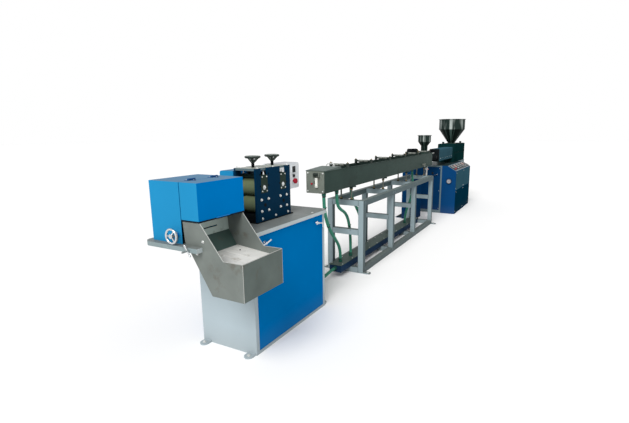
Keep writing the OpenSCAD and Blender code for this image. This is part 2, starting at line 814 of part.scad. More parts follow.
// two bearing blocks joined by the yoke that the press screw carries
module press_block(x) color("#24553f") difference() {
  union() {
    for (y = [[-plate_out, -plate_in], [plate_in, plate_out]])
      block([x - guide_w / 2 + slide_fit, x + guide_w / 2 - slide_fit], y, [up_axis - block_down, block_top + yoke_h]);
    block([x - 24, x + 24], [-plate_in - 1, plate_in + 1], [yoke_z0, yoke_z1]);
  }
  rod_y(-plate_out - 1, plate_out + 1, x, up_axis, shaft_r + run_fit);
  rod_z(yoke_z1 - 16, yoke_z1 + 1, x, 0, screw_r + run_fit);
}
module press_block_1() press_block(haul_x[0]);
module press_block_2() press_block(haul_x[1]);

module press_wheel(x) color("#4b5054") {
  translate([x, 0, press_z]) wheel(press_r - 7, 7, 16, 26, 6, press_dish);
  rod_z(yoke_z1 - 15, press_z - press_dish + 1, x, 0, screw_r);
  rod_z(yoke_z1 + slide_fit, bridge_z0 - lift - slide_fit, x, 0, screw_r + 7);
}
module press_wheel_1() press_wheel(haul_x[0]);
module press_wheel_2() press_wheel(haul_x[1]);

cover_y0 = plate_out + 8;
cover_x0 = (plate_x0 + plate_x1 - cover_len) / 2;
module drive_cover() color("#0a78c8") along_x(cover_x0, cover_x0 + cover_len)
  polygon([[cover_y0, table_z], [cover_y0 + cover_depth, table_z], [cover_y0 + cover_depth, table_z + cover_h - cover_edge],
    [cover_y0 + cover_depth - cover_edge, table_z + cover_h], [cover_y0, table_z + cover_h]]);

post_x = table_x1 - post_back + 30;
button_x = ctrl_x1 - 95;
button_z = ctrl_z0 + button_up;
module control_box() color("#d9dcdd") difference() {
  union() {
    along_y(ctrl_y, ctrl_y + ctrl_depth) round_rect([ctrl_x0, ctrl_x1], [ctrl_z0, ctrl_z0 + ctrl_h], ctrl_r);
    block([post_x - 30, post_x + 30], [ctrl_y + 45, ctrl_y + 105], [table_z, ctrl_z0]);
    block([post_x - post_foot / 2, post_x + post_foot / 2],
      [ctrl_y + 75 - post_foot / 2, ctrl_y + 75 + post_foot / 2], [table_z, table_z + 10]);
  }
  rod_y(ctrl_y - 1, ctrl_y + 20, button_x, button_z, button_r + run_fit);
}

module stop_button() color("#c0202a") {
  rod_y(ctrl_y - 14, ctrl_y + 8, button_x, button_z, button_r);
  rod_y(ctrl_y - 30, ctrl_y - 13, button_x, button_z, button_r + 9);
}

// Tank frame
module frame_posts() color("#8f9eab")
  for (x = portal_x, y = [-frame_y, frame_y - tube])
    block([x, x + tube], [y, y + tube], [0, frame_h]);

module frame_crossbars() color("#8f9eab")
  for (x = portal_x, z = [0, mid_bar, frame_h - tube])
    block([x, x + tube], [-frame_y + tube, frame_y - tube], [z, z + tube]);

module frame_rails() color("#8f9eab")
  for (i = [0 : portals - 2], y = [-frame_y, frame_y - tube], z = [0, frame_h - tube])
    block([portal_x[i] + tube, portal_x[i + 1]], [y, y + tube], [z, z + tube]);

module frame_feet() color("#8592a0")
  for (x = [portal_x[0], portal_x[portals - 1]], s = [-1, 1]) difference() {
    union() {
      block([x, x + tube], s < 0 ? [-frame_y - 50, -frame_y] : [frame_y, frame_y + 50], [0, tab_t]);
      rod_z(0, tab_t, x + tube / 2, s * (frame_y + 50), tube / 2);
    }
    rod_z(-1, tab_t + 1, x + tube / 2, s * (frame_y + 50), tab_hole_r);
  }

// saddle bar on two levelling screws over each portal
module tank_supports() color("#7d8688") for (x = portal_x) {
  block([x + 12, x + tube - 12], [-tank_w / 2 - 10, tank_w / 2 + 10], [tank_z0 - saddle_t, tank_z0]);
  for (y = [-level_y, level_y]) {
    rod_z(frame_h, tank_z0 - saddle_t, x + tube / 2, y, level_r);
    rod_z(frame_h, frame_h + 10, x + tube / 2, y, 2 * level_r);
    rod_z(tank_z0 - saddle_t - 20, tank_z0 - saddle_t - 6, x + tube / 2, y, 2 * level_r);
  }
}

// Tank
module tank_wall() polygon([[-tank_y - rim_w, tank_z1], [-tank_y - rim_w, tank_z1 - tank_t], [-tank_y, tank_z1 - tank_t],
  [-tank_y, tank_z0], [tank_t - tank_y, tank_z0], [tank_t - tank_y, tank_z1]]);

module tank_trough() color("#5c6866") along_x(tank_x, tank_x1) {
  tank_wall();
  mirror([1, 0]) tank_wall();
}

module tank_floor() color("#5c6866")
  block([tank_x, tank_x1], [tank_t - tank_y, tank_y - tank_t], [tank_z0, tank_z0 + tank_t]);

module tank_ends() color("#9aa3a2")
  for (x = [tank_x + 2, tank_x1 - 2 - tank_t]) difference() {
    block([x, x + tank_t], [tank_t - tank_y, tank_y - tank_t], [tank_z0 + tank_t, tank_z1]);
    rod_x(x - 1, x + tank_t + 1, 0, line_z, tank_hole_r);
  }

module tank_lid() color("#6b7674") along_y(-tank_y - rim_w, tank_y + rim_w)
  polygon([[tank_x, tank_z1], [tank_x + lid_len, tank_z1], [tank_x + lid_len, tank_z1 + lid_rise + 4],
    [tank_x + lid_len - 60, tank_z1 + lid_rise + 4], [tank_x, tank_z1 + 4]]);

guide_n = 6;
module tank_guides() color("#4d5654") for (i = [0 : guide_n - 1]) {
  x = tank_x + lid_len + 150 + i * (tank_len - lid_len - 400) / (guide_n - 1);
  for (s = [-1, 1]) block([x, x + 40], s < 0 ? [-tank_y - rim_w, -tank_y + 12] : [tank_y - 12, tank_y + rim_w], [tank_z1, tank_z1 + 46]);
  rod_y(-tank_y + 12, tank_y - 12, x + 20, tank_z1 + 26, 12);
}

// Return trough
module return_trough() color("#12324f") block([trough_x, trough_x + trough_len], [-trough_y, trough_y], [trough_z0, trough_z1]);

module trough_lid() color("#6d8078")
  block([trough_x - 6, trough_x + trough_len + 6], [-trough_y - 6, trough_y + 6], [trough_z1, trough_z1 + trough_lid_t]);

// spigots that the hoses end on: under the tank, on the trough's lid and end, and on the cabinet
module hose_fittings() color("#2b3134") {
  for (p = drop_ways) {
    foot = p[len(p) - 1];
    rod_z(p[0][2], tank_z0, p[0][0], p[0][1], hose_r + spigot_t);
    rod_z(trough_z1 + trough_lid_t, foot[2], foot[0], foot[1], hose_r + spigot_t);
  }
  inlet = hose_5_way[0];
  outlet = hose_5_way[len(hose_5_way) - 1];
  rod_x(inlet[0], trough_x, inlet[1], inlet[2], hose_r + spigot_t);
  rod_x(cab_len, outlet[0], outlet[1], outlet[2], hose_r + spigot_t);
}

// Hoses
module hose_1() color("#3a7f68") hose(hose_1_way, hose_r);
module hose_2() color("#3a7f68") hose(hose_2_way, hose_r);
module hose_3() color("#3a7f68") hose(hose_3_way, hose_r);
module hose_4() color("#3a7f68") hose(hose_4_way, hose_r);
module hose_5() color("#3a7f68") hose(hose_5_way, hose_r);

// Extruder
module extruder_base() color("#8a98a4") block([ext_x, ext_x1], [-ext_front, ext_back], [0, ext_h]);

module control_cabinet() color("#1c5698") along_x(ext_x, ext_x + con_len)
  polygon([[con_y0, 0], [-ext_front, 0], [-ext_front, ext_h], [con_y0 + con_slope, ext_h], [con_y0, (ext_h - con_drop)]]);

module extruder_panels() {
  color("#1b5aa6") block([ext_x - panel_t, ext_x], [30 - ext_front, ext_back - 30], [60, ext_h - 30]);
  color("#60788a") block([ext_x + 12, ext_x + con_len - 12], [con_y0 - panel_t, con_y0], [con_band + 4, (ext_h - con_drop) - 6]);
  color("#0a2440") block([ext_x + 12, ext_x + con_len - 12], [con_y0 - panel_t, con_y0], [12, con_band - 4]);
}

module pressure_gauge() color("#2a2f33") translate([ext_x, con_y0 + gauge_in, ext_h - gauge_drop]) rotate([0, -90, 0]) difference() {
  cylinder(r = 48, h = 22);
  translate([0, 0, 18]) cylinder(r = 42, h = 5);
}

// cast box with a foot flange, a bearing cap on its end and two round-topped plugs
module gearbox() color("#173f3b") {
  along_x(gear_x0, gear_x0 + gear_len) {
    round_rect([-gear_front, gear_w - gear_front], [ext_h, gear_z1], gear_r);
    translate([-gear_front, ext_h]) square([gear_w + gear_flange, gear_flange_h]);
  }
  rod_x(gear_x0 + gear_len - 1, gear_x0 + gear_len + 14, 0, line_z, gear_cap_r);
  rod_x(gear_x0 + gear_len - 1, gear_x0 + gear_len + 18, 0, line_z, gear_cap_r / 2);
  for (p = [[60, 130], [gear_len - 300, -80]]) translate([gear_x0 + p[0], p[1], gear_z1 - 1]) rotate_extrude()
    polygon([[0, 0], [16, 0], [16, 14], [26, 20], [26, 32], [20, 42], [0, 46]]);
}

// two-part cover, with the joint between its halves and the gaps between its sections
module barrel_cover() color("#5f7688") difference() {
  along_x(cov_x0, gear_x0) round_rect([-cov_w / 2, cov_w / 2], [line_z - cov_down, line_z + cov_up], cov_r);
  for (s = [-1, 1])
    block([cov_x0 - 1, gear_x0 + 1], s < 0 ? [-cov_w, seam_deep - cov_w / 2] : [cov_w / 2 - seam_deep, cov_w], [line_z - 2, line_z + 2]);
  for (i = [1 : cov_parts - 1]) {
    x = cov_x0 + i * (gear_x0 - cov_x0) / cov_parts;
    for (y = [[-cov_w, seam_deep - cov_w / 2], [cov_w / 2 - seam_deep, cov_w]])
      block([x - 2, x + 2], y, [line_z - cov_down - 1, line_z + cov_up + 1]);
    block([x - 2, x + 2], [-cov_w, cov_w], [line_z + cov_up - seam_deep, line_z + cov_up + 1]);
  }
}

// end plate of the barrel cover, clamp flange, three heater bands, cone and nozzle, turned about the line
die_pitch = (die_len - die_flange) / 4;
die_band = [for (i = [0 : 2]) [die_flange + i * die_pitch + 8, die_flange + (i + 1) * die_pitch]];
module die_head() color("#23282b") {
  block([cov_x0 - die_plate, cov_x0], [-cov_w / 2, cov_w / 2], [line_z - cov_down, line_z + cov_up]);
  translate([cov_x0, 0, line_z]) rotate([0, -90, 0]) rotate_extrude() polygon(concat(
    [[0, die_plate - 1], [die_r, die_plate - 1], [die_r, die_flange]],
    [for (b = die_band) each [[die_r - 10, b[0] - 8], [die_r - 10, b[0]], [die_r - 3, b[0]], [die_r - 3, b[1]]]],
    [[die_r - 10, die_flange + 3 * die_pitch], [nozzle_r + 8, die_len], [nozzle_r, die_len + 4],
      [nozzle_r, die_len + nozzle_len - 4], [nozzle_r - 4, die_len + nozzle_len], [0, die_len + nozzle_len]]));
  translate([die_x, 0, line_z]) rotate([0, 0, co_turn + 180]) rotate([0, 90, 0]) cylinder(r = cobarrel_r - 6, h = port_len);
}

// open-topped hopper, a cone under a straight wall, turned about its own axis
module hopper(r, cyl, cone, mouth, neck, t) rotate_extrude() polygon([
  [mouth - t, 0], [mouth, 0], [mouth, neck], [r, neck + cone], [r, neck + cone + cyl], [r + 10, neck + cone + cyl],
  [r + 10, neck + cone + cyl + t], [r - t, neck + cone + cyl + t], [r - t, neck + cone + t], [mouth - t, neck + t]]);

module main_hopper() color("#c3c8ca") translate([hopper_x, 0, gear_z1]) hopper(hop_r, hop_cyl, hop_cone, hop_mouth, hop_neck, hop_t);

// Co-extruder
module along_co(at) translate([co_x, stand_dy, line_z]) rotate([0, 0, co_turn]) translate([at, 0, 0]) children();

module coex_stand() color("#1f4f4d") {
  block([co_x - stand_lead, co_x - stand_lead + stand_len],
    [stand_dy + stand_side - stand_depth, stand_dy + stand_side], [0, line_z - drive_h / 2]);
  block([co_x - stand_foot / 2, co_x + stand_foot / 2], [2 * stand_dy - stand_reach, stand_reach], [0, tab_t]);
}

// gear case with its motor on top, whose cooling fins run lengthwise between the end shields
module coex_drive() color("#1d2326") along_co(0) {
  translate([-drive_len / 2, -drive_w / 2, -drive_h / 2]) cube([drive_len, drive_w, drive_h]);
  translate([motor_at, 0, drive_h / 2 + comotor_r - 2]) rotate([0, 90, 0]) {
    cylinder(r = comotor_r, h = shield_len);
    translate([0, 0, shield_len]) cylinder(r = comotor_r - 7, h = comotor_len - 2 * shield_len);
    for (i = [0 : fins - 1]) rotate([0, 0, 360 * (i + 0.5) / fins])
      translate([comotor_r - 10, -2, shield_len - 1]) cube([9, 4, comotor_len - 2 * shield_len + 2]);
    translate([0, 0, comotor_len - shield_len]) cylinder(r1 = comotor_r, r2 = comotor_r - 8, h = shield_len);
  }
}

// barrel with two heater bands, and the feed throat under the small hopper
module coex_barrel() color("#7d878b") along_co(drive_len / 2) {
  rotate([0, 90, 0]) cylinder(r = cobarrel_r, h = co_len - drive_len / 2 - port_len);
  for (x = [25, 95]) translate([x, 0, 0]) rotate([0, 90, 0]) cylinder(r = cobarrel_r + 7, h = 55);
  translate([cohop_at - drive_len / 2 - throat, -throat, 0]) cube([2 * throat, 2 * throat, drive_h / 2 + cohop_rise]);
}

module coex_hopper() color("#b9bfc1") along_co(cohop_at) translate([0, 0, drive_h / 2 + cohop_rise])
  hopper(cohop_r, cohop_cyl, cohop_cone, cohop_mouth, cohop_neck, hop_t - 1);

centred() cabinet_body();
centred() cabinet_panels();
centred() cabinet_feet();
centred() panel_latches();
centred() table_plate();
centred() cutter_housing();
centred() cutter_hood();
centred() hood_hinge_fixed();
centred() hood_hinge_moving();
centred() cutter_motor();
centred() cutter_knife();
centred() cutter_handwheel();
centred() clamp_handle();
centred() chute_sides();
centred() chute_sheet();
centred() chute_floor();
centred() haul_off_base();
centred() haul_off_plates();
centred() haul_off_bridge();
centred() lower_roller_1();
centred() lower_roller_2();
centred() upper_roller_1();
centred() upper_roller_2();
centred() press_block_1();
centred() press_block_2();
centred() press_wheel_1();
centred() press_wheel_2();
centred() drive_cover();
centred() control_box();
centred() stop_button();
centred() frame_posts();
centred() frame_crossbars();
centred() frame_rails();
centred() frame_feet();
centred() tank_supports();
centred() tank_trough();
centred() tank_floor();
centred() tank_ends();
centred() tank_lid();
centred() tank_guides();
centred() return_trough();
centred() trough_lid();
centred() hose_fittings();
centred() hose_1();
centred() hose_2();
centred() hose_3();
centred() hose_4();
centred() hose_5();
centred() extruder_base();
centred() control_cabinet();
centred() extruder_panels();
centred() pressure_gauge();
centred() gearbox();
centred() barrel_cover();
centred() die_head();
centred() main_hopper();
centred() coex_stand();
centred() coex_drive();
centred() coex_barrel();
centred() coex_hopper();
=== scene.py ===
import math

import bmesh
import bpy
import numpy as np
from mathutils import Matrix, Vector


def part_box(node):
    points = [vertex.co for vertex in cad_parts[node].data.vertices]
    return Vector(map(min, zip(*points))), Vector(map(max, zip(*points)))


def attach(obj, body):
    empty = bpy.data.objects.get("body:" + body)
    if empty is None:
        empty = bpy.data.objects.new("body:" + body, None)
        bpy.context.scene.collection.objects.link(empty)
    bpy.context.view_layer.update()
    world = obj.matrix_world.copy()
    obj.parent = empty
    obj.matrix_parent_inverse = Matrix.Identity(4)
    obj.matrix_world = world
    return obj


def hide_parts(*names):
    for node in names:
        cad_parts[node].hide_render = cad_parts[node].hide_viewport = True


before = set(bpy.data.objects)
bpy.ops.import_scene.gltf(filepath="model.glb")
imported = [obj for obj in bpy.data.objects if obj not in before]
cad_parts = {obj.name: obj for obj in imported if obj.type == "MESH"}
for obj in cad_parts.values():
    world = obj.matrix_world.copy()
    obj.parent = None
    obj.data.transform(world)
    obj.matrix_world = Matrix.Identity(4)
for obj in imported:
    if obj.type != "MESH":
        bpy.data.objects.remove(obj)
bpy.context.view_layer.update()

# Studio. A pale floor and a white surround, with one broad soft key light from the cutter's end and a
# weaker one over the operator. The viewing point and lens are the photograph's own.
scene = bpy.context.scene
scene.view_settings.view_transform = "Standard"


def feed(tree, node, inputs):
    """Fills a node's inputs: a socket is linked to its input, anything else is set as the value."""
    for key, value in inputs.items():
        if isinstance(value, bpy.types.NodeSocket):
            tree.links.new(value, node.inputs[key])
        else:
            node.inputs[key].default_value = value


def shading(tree, kind, inputs=(), out=0, **settings):
    """Adds a shader node with its settings and inputs, and gives back one of its outputs."""
    node = tree.nodes.new("ShaderNode" + kind)
    for name, setting in settings.items():
        setattr(node, name, setting)
    feed(tree, node, dict(inputs))
    return node.outputs[out]


world = bpy.data.worlds.new("white_surround")
scene.world = world
world.use_nodes = True
sky = world.node_tree
fill_light = sky.nodes["Background"]
feed(sky, fill_light, {"Color": (0.99, 0.995, 1.0, 1.0), "Strength": 0.42})
backdrop = shading(sky, "Background", {"Color": (1.0, 1.0, 1.0, 1.0), "Strength": 1.0})
seen = shading(sky, "LightPath", out="Is Camera Ray")
for ray in ("Is Glossy Ray", "Is Transmission Ray"):
    seen = shading(sky, "Math", {0: seen, 1: shading(sky, "LightPath", out=ray)}, operation="MAXIMUM")
choose = shading(sky, "MixShader", {0: seen, 1: fill_light.outputs[0], 2: backdrop})
feed(sky, sky.nodes["World Output"], {"Surface": choose})


def soft_lamp(name, towards, energy, angle):
    """A sun lamp that shines along the given direction, softened by its angle."""
    lamp = bpy.data.lights.new(name, "SUN")
    lamp.energy = energy
    lamp.angle = math.radians(angle)
    holder = bpy.data.objects.new(name, lamp)
    holder.rotation_euler = Vector(towards).to_track_quat("-Z", "Y").to_euler()
    scene.collection.objects.link(holder)


soft_lamp("key_lamp", (0.72, 0.12, -0.68), 3.0, 35)
soft_lamp("fill_lamp", (-0.25, 0.80, -0.80), 0.2, 50)

FLOOR_REACH = 60.0
floor_mesh = bpy.data.meshes.new("studio_floor")
floor_corners = np.array([[-1, -1, 0], [1, -1, 0], [1, 1, 0], [-1, 1, 0]]) * FLOOR_REACH
floor_mesh.from_pydata(floor_corners.tolist(), [], [(0, 1, 2, 3)])
floor_paint = bpy.data.materials.new("pale_floor")
floor_paint.use_nodes = True
feed(floor_paint.node_tree, floor_paint.node_tree.nodes["Principled BSDF"],
     {"Base Color": (0.95, 0.945, 0.94, 1.0), "Roughness": 0.8, "Specular IOR Level": 0.1})
floor_mesh.materials.append(floor_paint)
studio_floor = bpy.data.objects.new("studio_floor", floor_mesh)
scene.collection.objects.link(studio_floor)

cab_low, cab_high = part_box("cabinet_body")
IMAGE_WIDTH = 629
EYE = Vector((cab_low.x - 2.2007, -2.0823, 1.62))
FOCUS_PIXELS = 414.225
CENTRE_OFF_PIXELS = (17.09, 3.24)
yaw, pitch, roll = (math.radians(turn) for turn in (28.223, 11.328, 0.329))
ahead = Vector((math.cos(yaw) * math.cos(pitch), math.sin(yaw) * math.cos(pitch), -math.sin(pitch)))
right = Vector((math.sin(yaw), -math.cos(yaw), 0.0))
down = ahead.cross(right)
side = math.cos(roll) * right + math.sin(roll) * down
under = math.cos(roll) * down - math.sin(roll) * right
camera_data = bpy.data.cameras.new("photo_camera")
camera_data.sensor_width = 36.0
camera_data.lens = camera_data.sensor_width * FOCUS_PIXELS / IMAGE_WIDTH
camera_data.shift_x = -CENTRE_OFF_PIXELS[0] / IMAGE_WIDTH
camera_data.shift_y = CENTRE_OFF_PIXELS[1] / IMAGE_WIDTH
camera_data.clip_end = 200.0
camera = bpy.data.objects.new("photo_camera", camera_data)
camera.matrix_world = Matrix.Translation(EYE) @ Matrix((side, -under, -ahead)).transposed().to_4x4()
scene.collection.objects.link(camera)
scene.camera = camera


# Water hoses. Green reinforced rubber hose, 34 mm outside, from the spigots under the tank down to
# the return trough, and from the trough's end along the floor to the cabinet. Steel bands hold them.
UP = (0, 0, 1)
ALONG = (1, 0, 0)
AGAINST = (-1, 0, 0)
FAR = (0, 1, 0)
NEAR = (0, -1, 0)


def chip(red, green, blue):
    """A paint chip's 0 to 255 screen colour as linear light: the standard screen curve undone."""
    share = np.array([red, green, blue]) / 255.0
    light = np.where(share > 0.04045, ((share + 0.055) / 1.055) ** 2.4, share / 12.92)
    return tuple(light.tolist())


def blend(tree, share, first, second, **settings):
    """Moves from one colour to another by a share. A Mix node's colour sockets go by their numbers."""
    return shading(tree, "Mix", {0: share, 6: first, 7: second}, 2, data_type="RGBA", **settings)


def clouded(tree, share, colour, depth):
    """A screen colour that drifts from darker to lighter, by twice the depth each way."""
    light = chip(*colour)
    darker = (*[c * (1 - 2 * depth) for c in light], 1.0)
    lighter = (*[min(1.0, c * (1 + 2 * depth)) for c in light], 1.0)
    return blend(tree, share, darker, lighter)


def worked_finish(name, colour, metal=0.0, rough=0.4, cloud=0.08, cloud_scale=2.5, grain=(1, 1, 1),
                  grain_scale=90.0, gloss_drift=0.07, bump=0.03, shine=0.05, stain=None, stain_scale=5.0,
                  stain_from=0.6, soil=0.0, top=None, end=None, facing=(), ease=0.0015):
    """A finish whose colour drifts in soft clouds, with painted light and shade as other colours on its top,
    on its end towards the cutter, and on faces that turn another given way: each of these has an axis, the
    normal's share along it, a margin and its colour. Stains come where a noise passes a level, soil fades
    upwards from the floor, and the skin's gloss and height follow a stretched grain over eased edges. Colours
    are given as screen values."""
    material = bpy.data.materials.new(name)
    material.use_nodes = True
    tree = material.node_tree
    place = shading(tree, "TexCoord", out="Object")
    normal = shading(tree, "NewGeometry", out="Normal")
    clouds = shading(tree, "TexNoise", {"Vector": place, "Scale": cloud_scale, "Detail": 6.0})
    shade = clouded(tree, clouds, colour, cloud)
    # Painted light and shade: faces turned up, towards the cutter's end or another given way take their own
    # colour in place of the base colour.
    for axis, share, margin, other in (("Z", 1.0, 0.12, top), ("X", -1.0, 0.12, end), *facing):
        if other is None:
            continue
        slant = shading(tree, "SeparateXYZ", {"Vector": normal}, axis)
        near = shading(tree, "Math", {0: slant, 1: share, 2: margin}, operation="COMPARE")
        shade = blend(tree, near, shade, clouded(tree, clouds, other, cloud))
    if stain is not None:
        spots = shading(tree, "TexNoise", {"Vector": place, "Scale": stain_scale, "Detail": 8.0,
                                           "Roughness": 0.65})
        level = shading(tree, "MapRange", {"Value": spots, "From Min": stain_from,
                                           "From Max": stain_from + 0.12, "To Max": 0.7})
        shade = blend(tree, level, shade, (*chip(*stain), 1.0))
    if soil > 0:
        height = shading(tree, "SeparateXYZ", {"Vector": place}, "Z")
        fade = shading(tree, "MapRange", {"Value": height, "From Max": 0.18, "To Min": soil, "To Max": 0.0})
        patchy = shading(tree, "Math", {0: fade, 1: clouds}, operation="MULTIPLY")
        shade = blend(tree, patchy, shade, (0.16, 0.13, 0.10, 1.0))
    stretch = shading(tree, "Mapping", {"Vector": place, "Scale": grain})
    skin = shading(tree, "TexNoise", {"Vector": stretch, "Scale": grain_scale, "Detail": 3.0})
    gloss = shading(tree, "MapRange", {"Value": skin, "From Min": 0.3, "From Max": 0.7,
                                       "To Min": max(0.03, rough - gloss_drift),
                                       "To Max": rough + gloss_drift})
    edges = shading(tree, "Bevel", {"Radius": ease}, samples=4)
    relief = shading(tree, "Bump", {"Height": skin, "Normal": edges, "Strength": bump, "Distance": 0.002})
    feed(tree, tree.nodes["Principled BSDF"], {"Base Color": shade, "Metallic": metal, "Roughness": gloss,
                                               "Specular IOR Level": shine, "Normal": relief})
    return material


def piece(name, parts, body="line", stands_for=(), crease=32):
    """One object from several grids. Each point of a grid joins the next one of its row and the same
    two in the next row; equal corners are merged and the closed shells turned to face outwards."""
    corners = []
    faces = []
    finish_numbers = []
    finishes = []
    first = 0
    for (points, around), finish in parts:
        rows, columns = points.shape[:2]
        row = np.arange(rows - 1)[:, None] * columns
        here = np.arange(columns if around else columns - 1)[None, :]
        there = (here + 1) % columns
        quads = np.stack([row + here, row + there, row + columns + there, row + columns + here], -1)
        quads = quads.reshape(-1, 4) + first
        if finish not in finishes:
            finishes.append(finish)
        corners.append(points.reshape(-1, 3))
        faces.append(quads)
        finish_numbers.append(np.full(len(quads), finishes.index(finish)))
        first += rows * columns
    mesh = bpy.data.meshes.new(name)
    mesh.from_pydata(np.concatenate(corners).tolist(), [], np.concatenate(faces).tolist())
    mesh.polygons.foreach_set("material_index", np.concatenate(finish_numbers).astype(np.int32))
    for finish in finishes:
        mesh.materials.append(finish)
    shell = bmesh.new()
    shell.from_mesh(mesh)
    bmesh.ops.remove_doubles(shell, verts=shell.verts, dist=2e-6)
    bmesh.ops.dissolve_degenerate(shell, edges=shell.edges, dist=1e-7)
    bmesh.ops.recalc_face_normals(shell, faces=shell.faces)
    shell.to_mesh(mesh)
    shell.free()
    mesh.polygons.foreach_set("use_smooth", np.ones(len(mesh.polygons), bool))
    mesh.set_sharp_from_angle(angle=math.radians(crease))
    thing = bpy.data.objects.new(name, mesh)
    scene.collection.objects.link(thing)
    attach(thing, body)
    if stands_for:
        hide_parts(*stands_for)
    return thing


def carried(way, radius, steps=16, beside=FAR):
    """A round bar or hose: a circle of each point's radius, square to the way, with both ends closed
    to their middles. The circle starts from the direction across the way and the given side."""
    way = np.asarray(way, float)
    radius = np.broadcast_to(np.asarray(radius, float), len(way))
    heading = np.gradient(way, axis=0)
    heading /= np.linalg.norm(heading, axis=1, keepdims=True)
    across = np.cross(heading, np.asarray(beside, float))
    across /= np.linalg.norm(across, axis=1, keepdims=True)
    upward = np.cross(heading, across)
    turn = np.linspace(0, 2 * np.pi, steps, endpoint=False)[None, :, None]
    spoke = np.cos(turn) * across[:, None] + np.sin(turn) * upward[:, None]
    rings = way[:, None] + radius[:, None, None] * spoke
    first = np.broadcast_to(way[0], (1, steps, 3))
    last = np.broadcast_to(way[-1], (1, steps, 3))
    return np.concatenate([first, rings, last]), True


def middle_of(node):
    """The middle of a solid's box, along, across and up."""
    low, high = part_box(node)
    return np.array([(low.x + high.x) / 2, (low.y + high.y) / 2, (low.z + high.z) / 2])


def hose_way(start, end, leave, arrive, swing=0.0, sag=0.0):
    """A hose's route: a short straight lead off each spigot, and between the leads one cubic bend that
    keeps their directions, with the sideways swing and the sag added as a squared sine."""
    start, end, leave, arrive = (np.array(point, float) for point in (start, end, leave, arrive))
    first = start + HOSE_LEAD * leave / np.linalg.norm(leave)
    last = end + HOSE_LEAD * arrive / np.linalg.norm(arrive)
    share = np.linspace(0, 1, HOSE_POINTS - 2)[:, None]
    rest = 1 - share
    bend = (rest ** 3 * first + 3 * rest ** 2 * share * (first + leave)
            + 3 * rest * share ** 2 * (last + arrive) + share ** 3 * last)
    bend += np.sin(np.pi * share) ** 2 * np.array([0.0, swing, -sag])
    return np.concatenate([[start], bend, [end]])


def hose_band(at, heading):
    """A worm-drive band: a thin ring round the hose, with its screw lying across the outside."""
    ring_way = at + heading * np.linspace(0, 0.014, 4)[:, None]
    ring = carried(ring_way, [HOSE_R, HOSE_R + 0.0018, HOSE_R + 0.0018, HOSE_R], 20)
    screw_at = at + heading * 0.007 + np.cross(heading, FAR) * (HOSE_R + 0.005)
    screw_way = screw_at + np.array([0.0, 1.0, 0.0]) * np.linspace(-0.012, 0.012, 4)[:, None]
    screw = carried(screw_way, [0.0045, 0.005, 0.005, 0.0065], 12, (1.0, 0.3, 0.2))
    return [(ring, clamp_steel), (screw, clamp_steel)]


HOSE_R = 0.017
HOSE_LEAD = 0.012
HOSE_POINTS = 40
SPIGOT = 0.022
tank_low, tank_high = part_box("tank_trough")
trough_low, trough_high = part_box("return_trough")
hose_top = tank_low.z - SPIGOT
hose_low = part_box("trough_lid")[1].z + SPIGOT
hose_mid = middle_of("return_trough")[2]
hose_ways = {
    "hose_1": hose_way((tank_low.x + 0.028, -0.080, hose_top), (tank_low.x + 0.547, 0.0, hose_low),
                       (0, 0, -0.500), (0, 0, 0.275), swing=-0.020),
    "hose_2": hose_way((tank_low.x + 0.304, -0.080, hose_top), (tank_low.x + 0.819, 0.0, hose_low),
                       (0, 0, -0.350), (0, 0, 0.750)),
    "hose_3": hose_way((tank_low.x + 0.779, -0.020, hose_top), (tank_low.x + 1.179, 0.0, hose_low),
                       (0, 0, -0.250), (0, 0, 0.550)),
    "hose_4": hose_way((tank_high.x - 0.977, -0.040, hose_top), (tank_high.x - 1.167, 0.0, hose_low),
                       (0, 0, -0.200), (0, 0, 0.350), swing=-0.060),
    "hose_5": hose_way((trough_low.x - SPIGOT, 0.0, hose_mid + 0.006),
                       (cab_high.x + SPIGOT, 0.0, hose_mid + 0.014),
                       (-0.200, 0, 0), (0.200, 0, 0), sag=0.030),
}
joint_heights = {"hose_1": (0.86, 0.66), "hose_2": (0.53,), "hose_3": (0.70,), "hose_4": (0.78,),
                 "hose_5": ()}
hose_rubber = worked_finish(
    "green_hose_rubber", (58, 126, 104), rough=0.42, cloud=0.12, cloud_scale=9, grain=(1, 1, 4),
    grain_scale=60, bump=0.06, stain=(26, 66, 58), stain_from=0.62)
clamp_steel = worked_finish("hose_band_steel", (44, 50, 52), metal=0.7, grain_scale=160)
bands = []
for hose_name, way in hose_ways.items():
    hose = piece(hose_name + "_rubber", [(carried(way, HOSE_R, 20), hose_rubber)],
                 stands_for=(hose_name,))
    for end, inner in ((way[0], way[1]), (way[-1], way[-2])):
        heading = (inner - end) / np.linalg.norm(inner - end)
        bands += hose_band(end + 0.004 * heading, heading)
    for height in joint_heights[hose_name]:
        near = int(np.argmin(np.abs(way[:, 2] - height)))
        heading = (way[near + 1] - way[near]) / np.linalg.norm(way[near + 1] - way[near])
        bands += hose_band(way[near], heading)
piece("hose_bands", bands)


# Haul-off cabinet. Folded and welded sheet in pale grey-blue, with lift-off side panels in blue
# enamel on quarter-turn latches, and four anchor tabs bolted to the floor.
def dress(material, *nodes):
    """Puts one finish on solids of the machine."""
    for node in nodes:
        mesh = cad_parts[node].data
        mesh.materials.clear()
        mesh.materials.append(material)


def turned(profile, centre, axis, steps=24):
    """A turned shape: each (along, radius) pair of the profile goes once round the axis."""
    along, radius = np.array(profile, float).T
    axis = np.asarray(axis, float) / np.linalg.norm(axis)
    start = np.array([1.0, 0.0, 0.0]) if abs(axis[0]) < 0.9 else np.array([0.0, 1.0, 0.0])
    across = np.cross(axis, start)
    across /= np.linalg.norm(across)
    upward = np.cross(axis, across)
    turn = np.linspace(0, 2 * np.pi, steps, endpoint=False)[None, :, None]
    spoke = np.cos(turn) * across + np.sin(turn) * upward
    return np.asarray(centre, float) + along[:, None, None] * axis + radius[:, None, None] * spoke, True


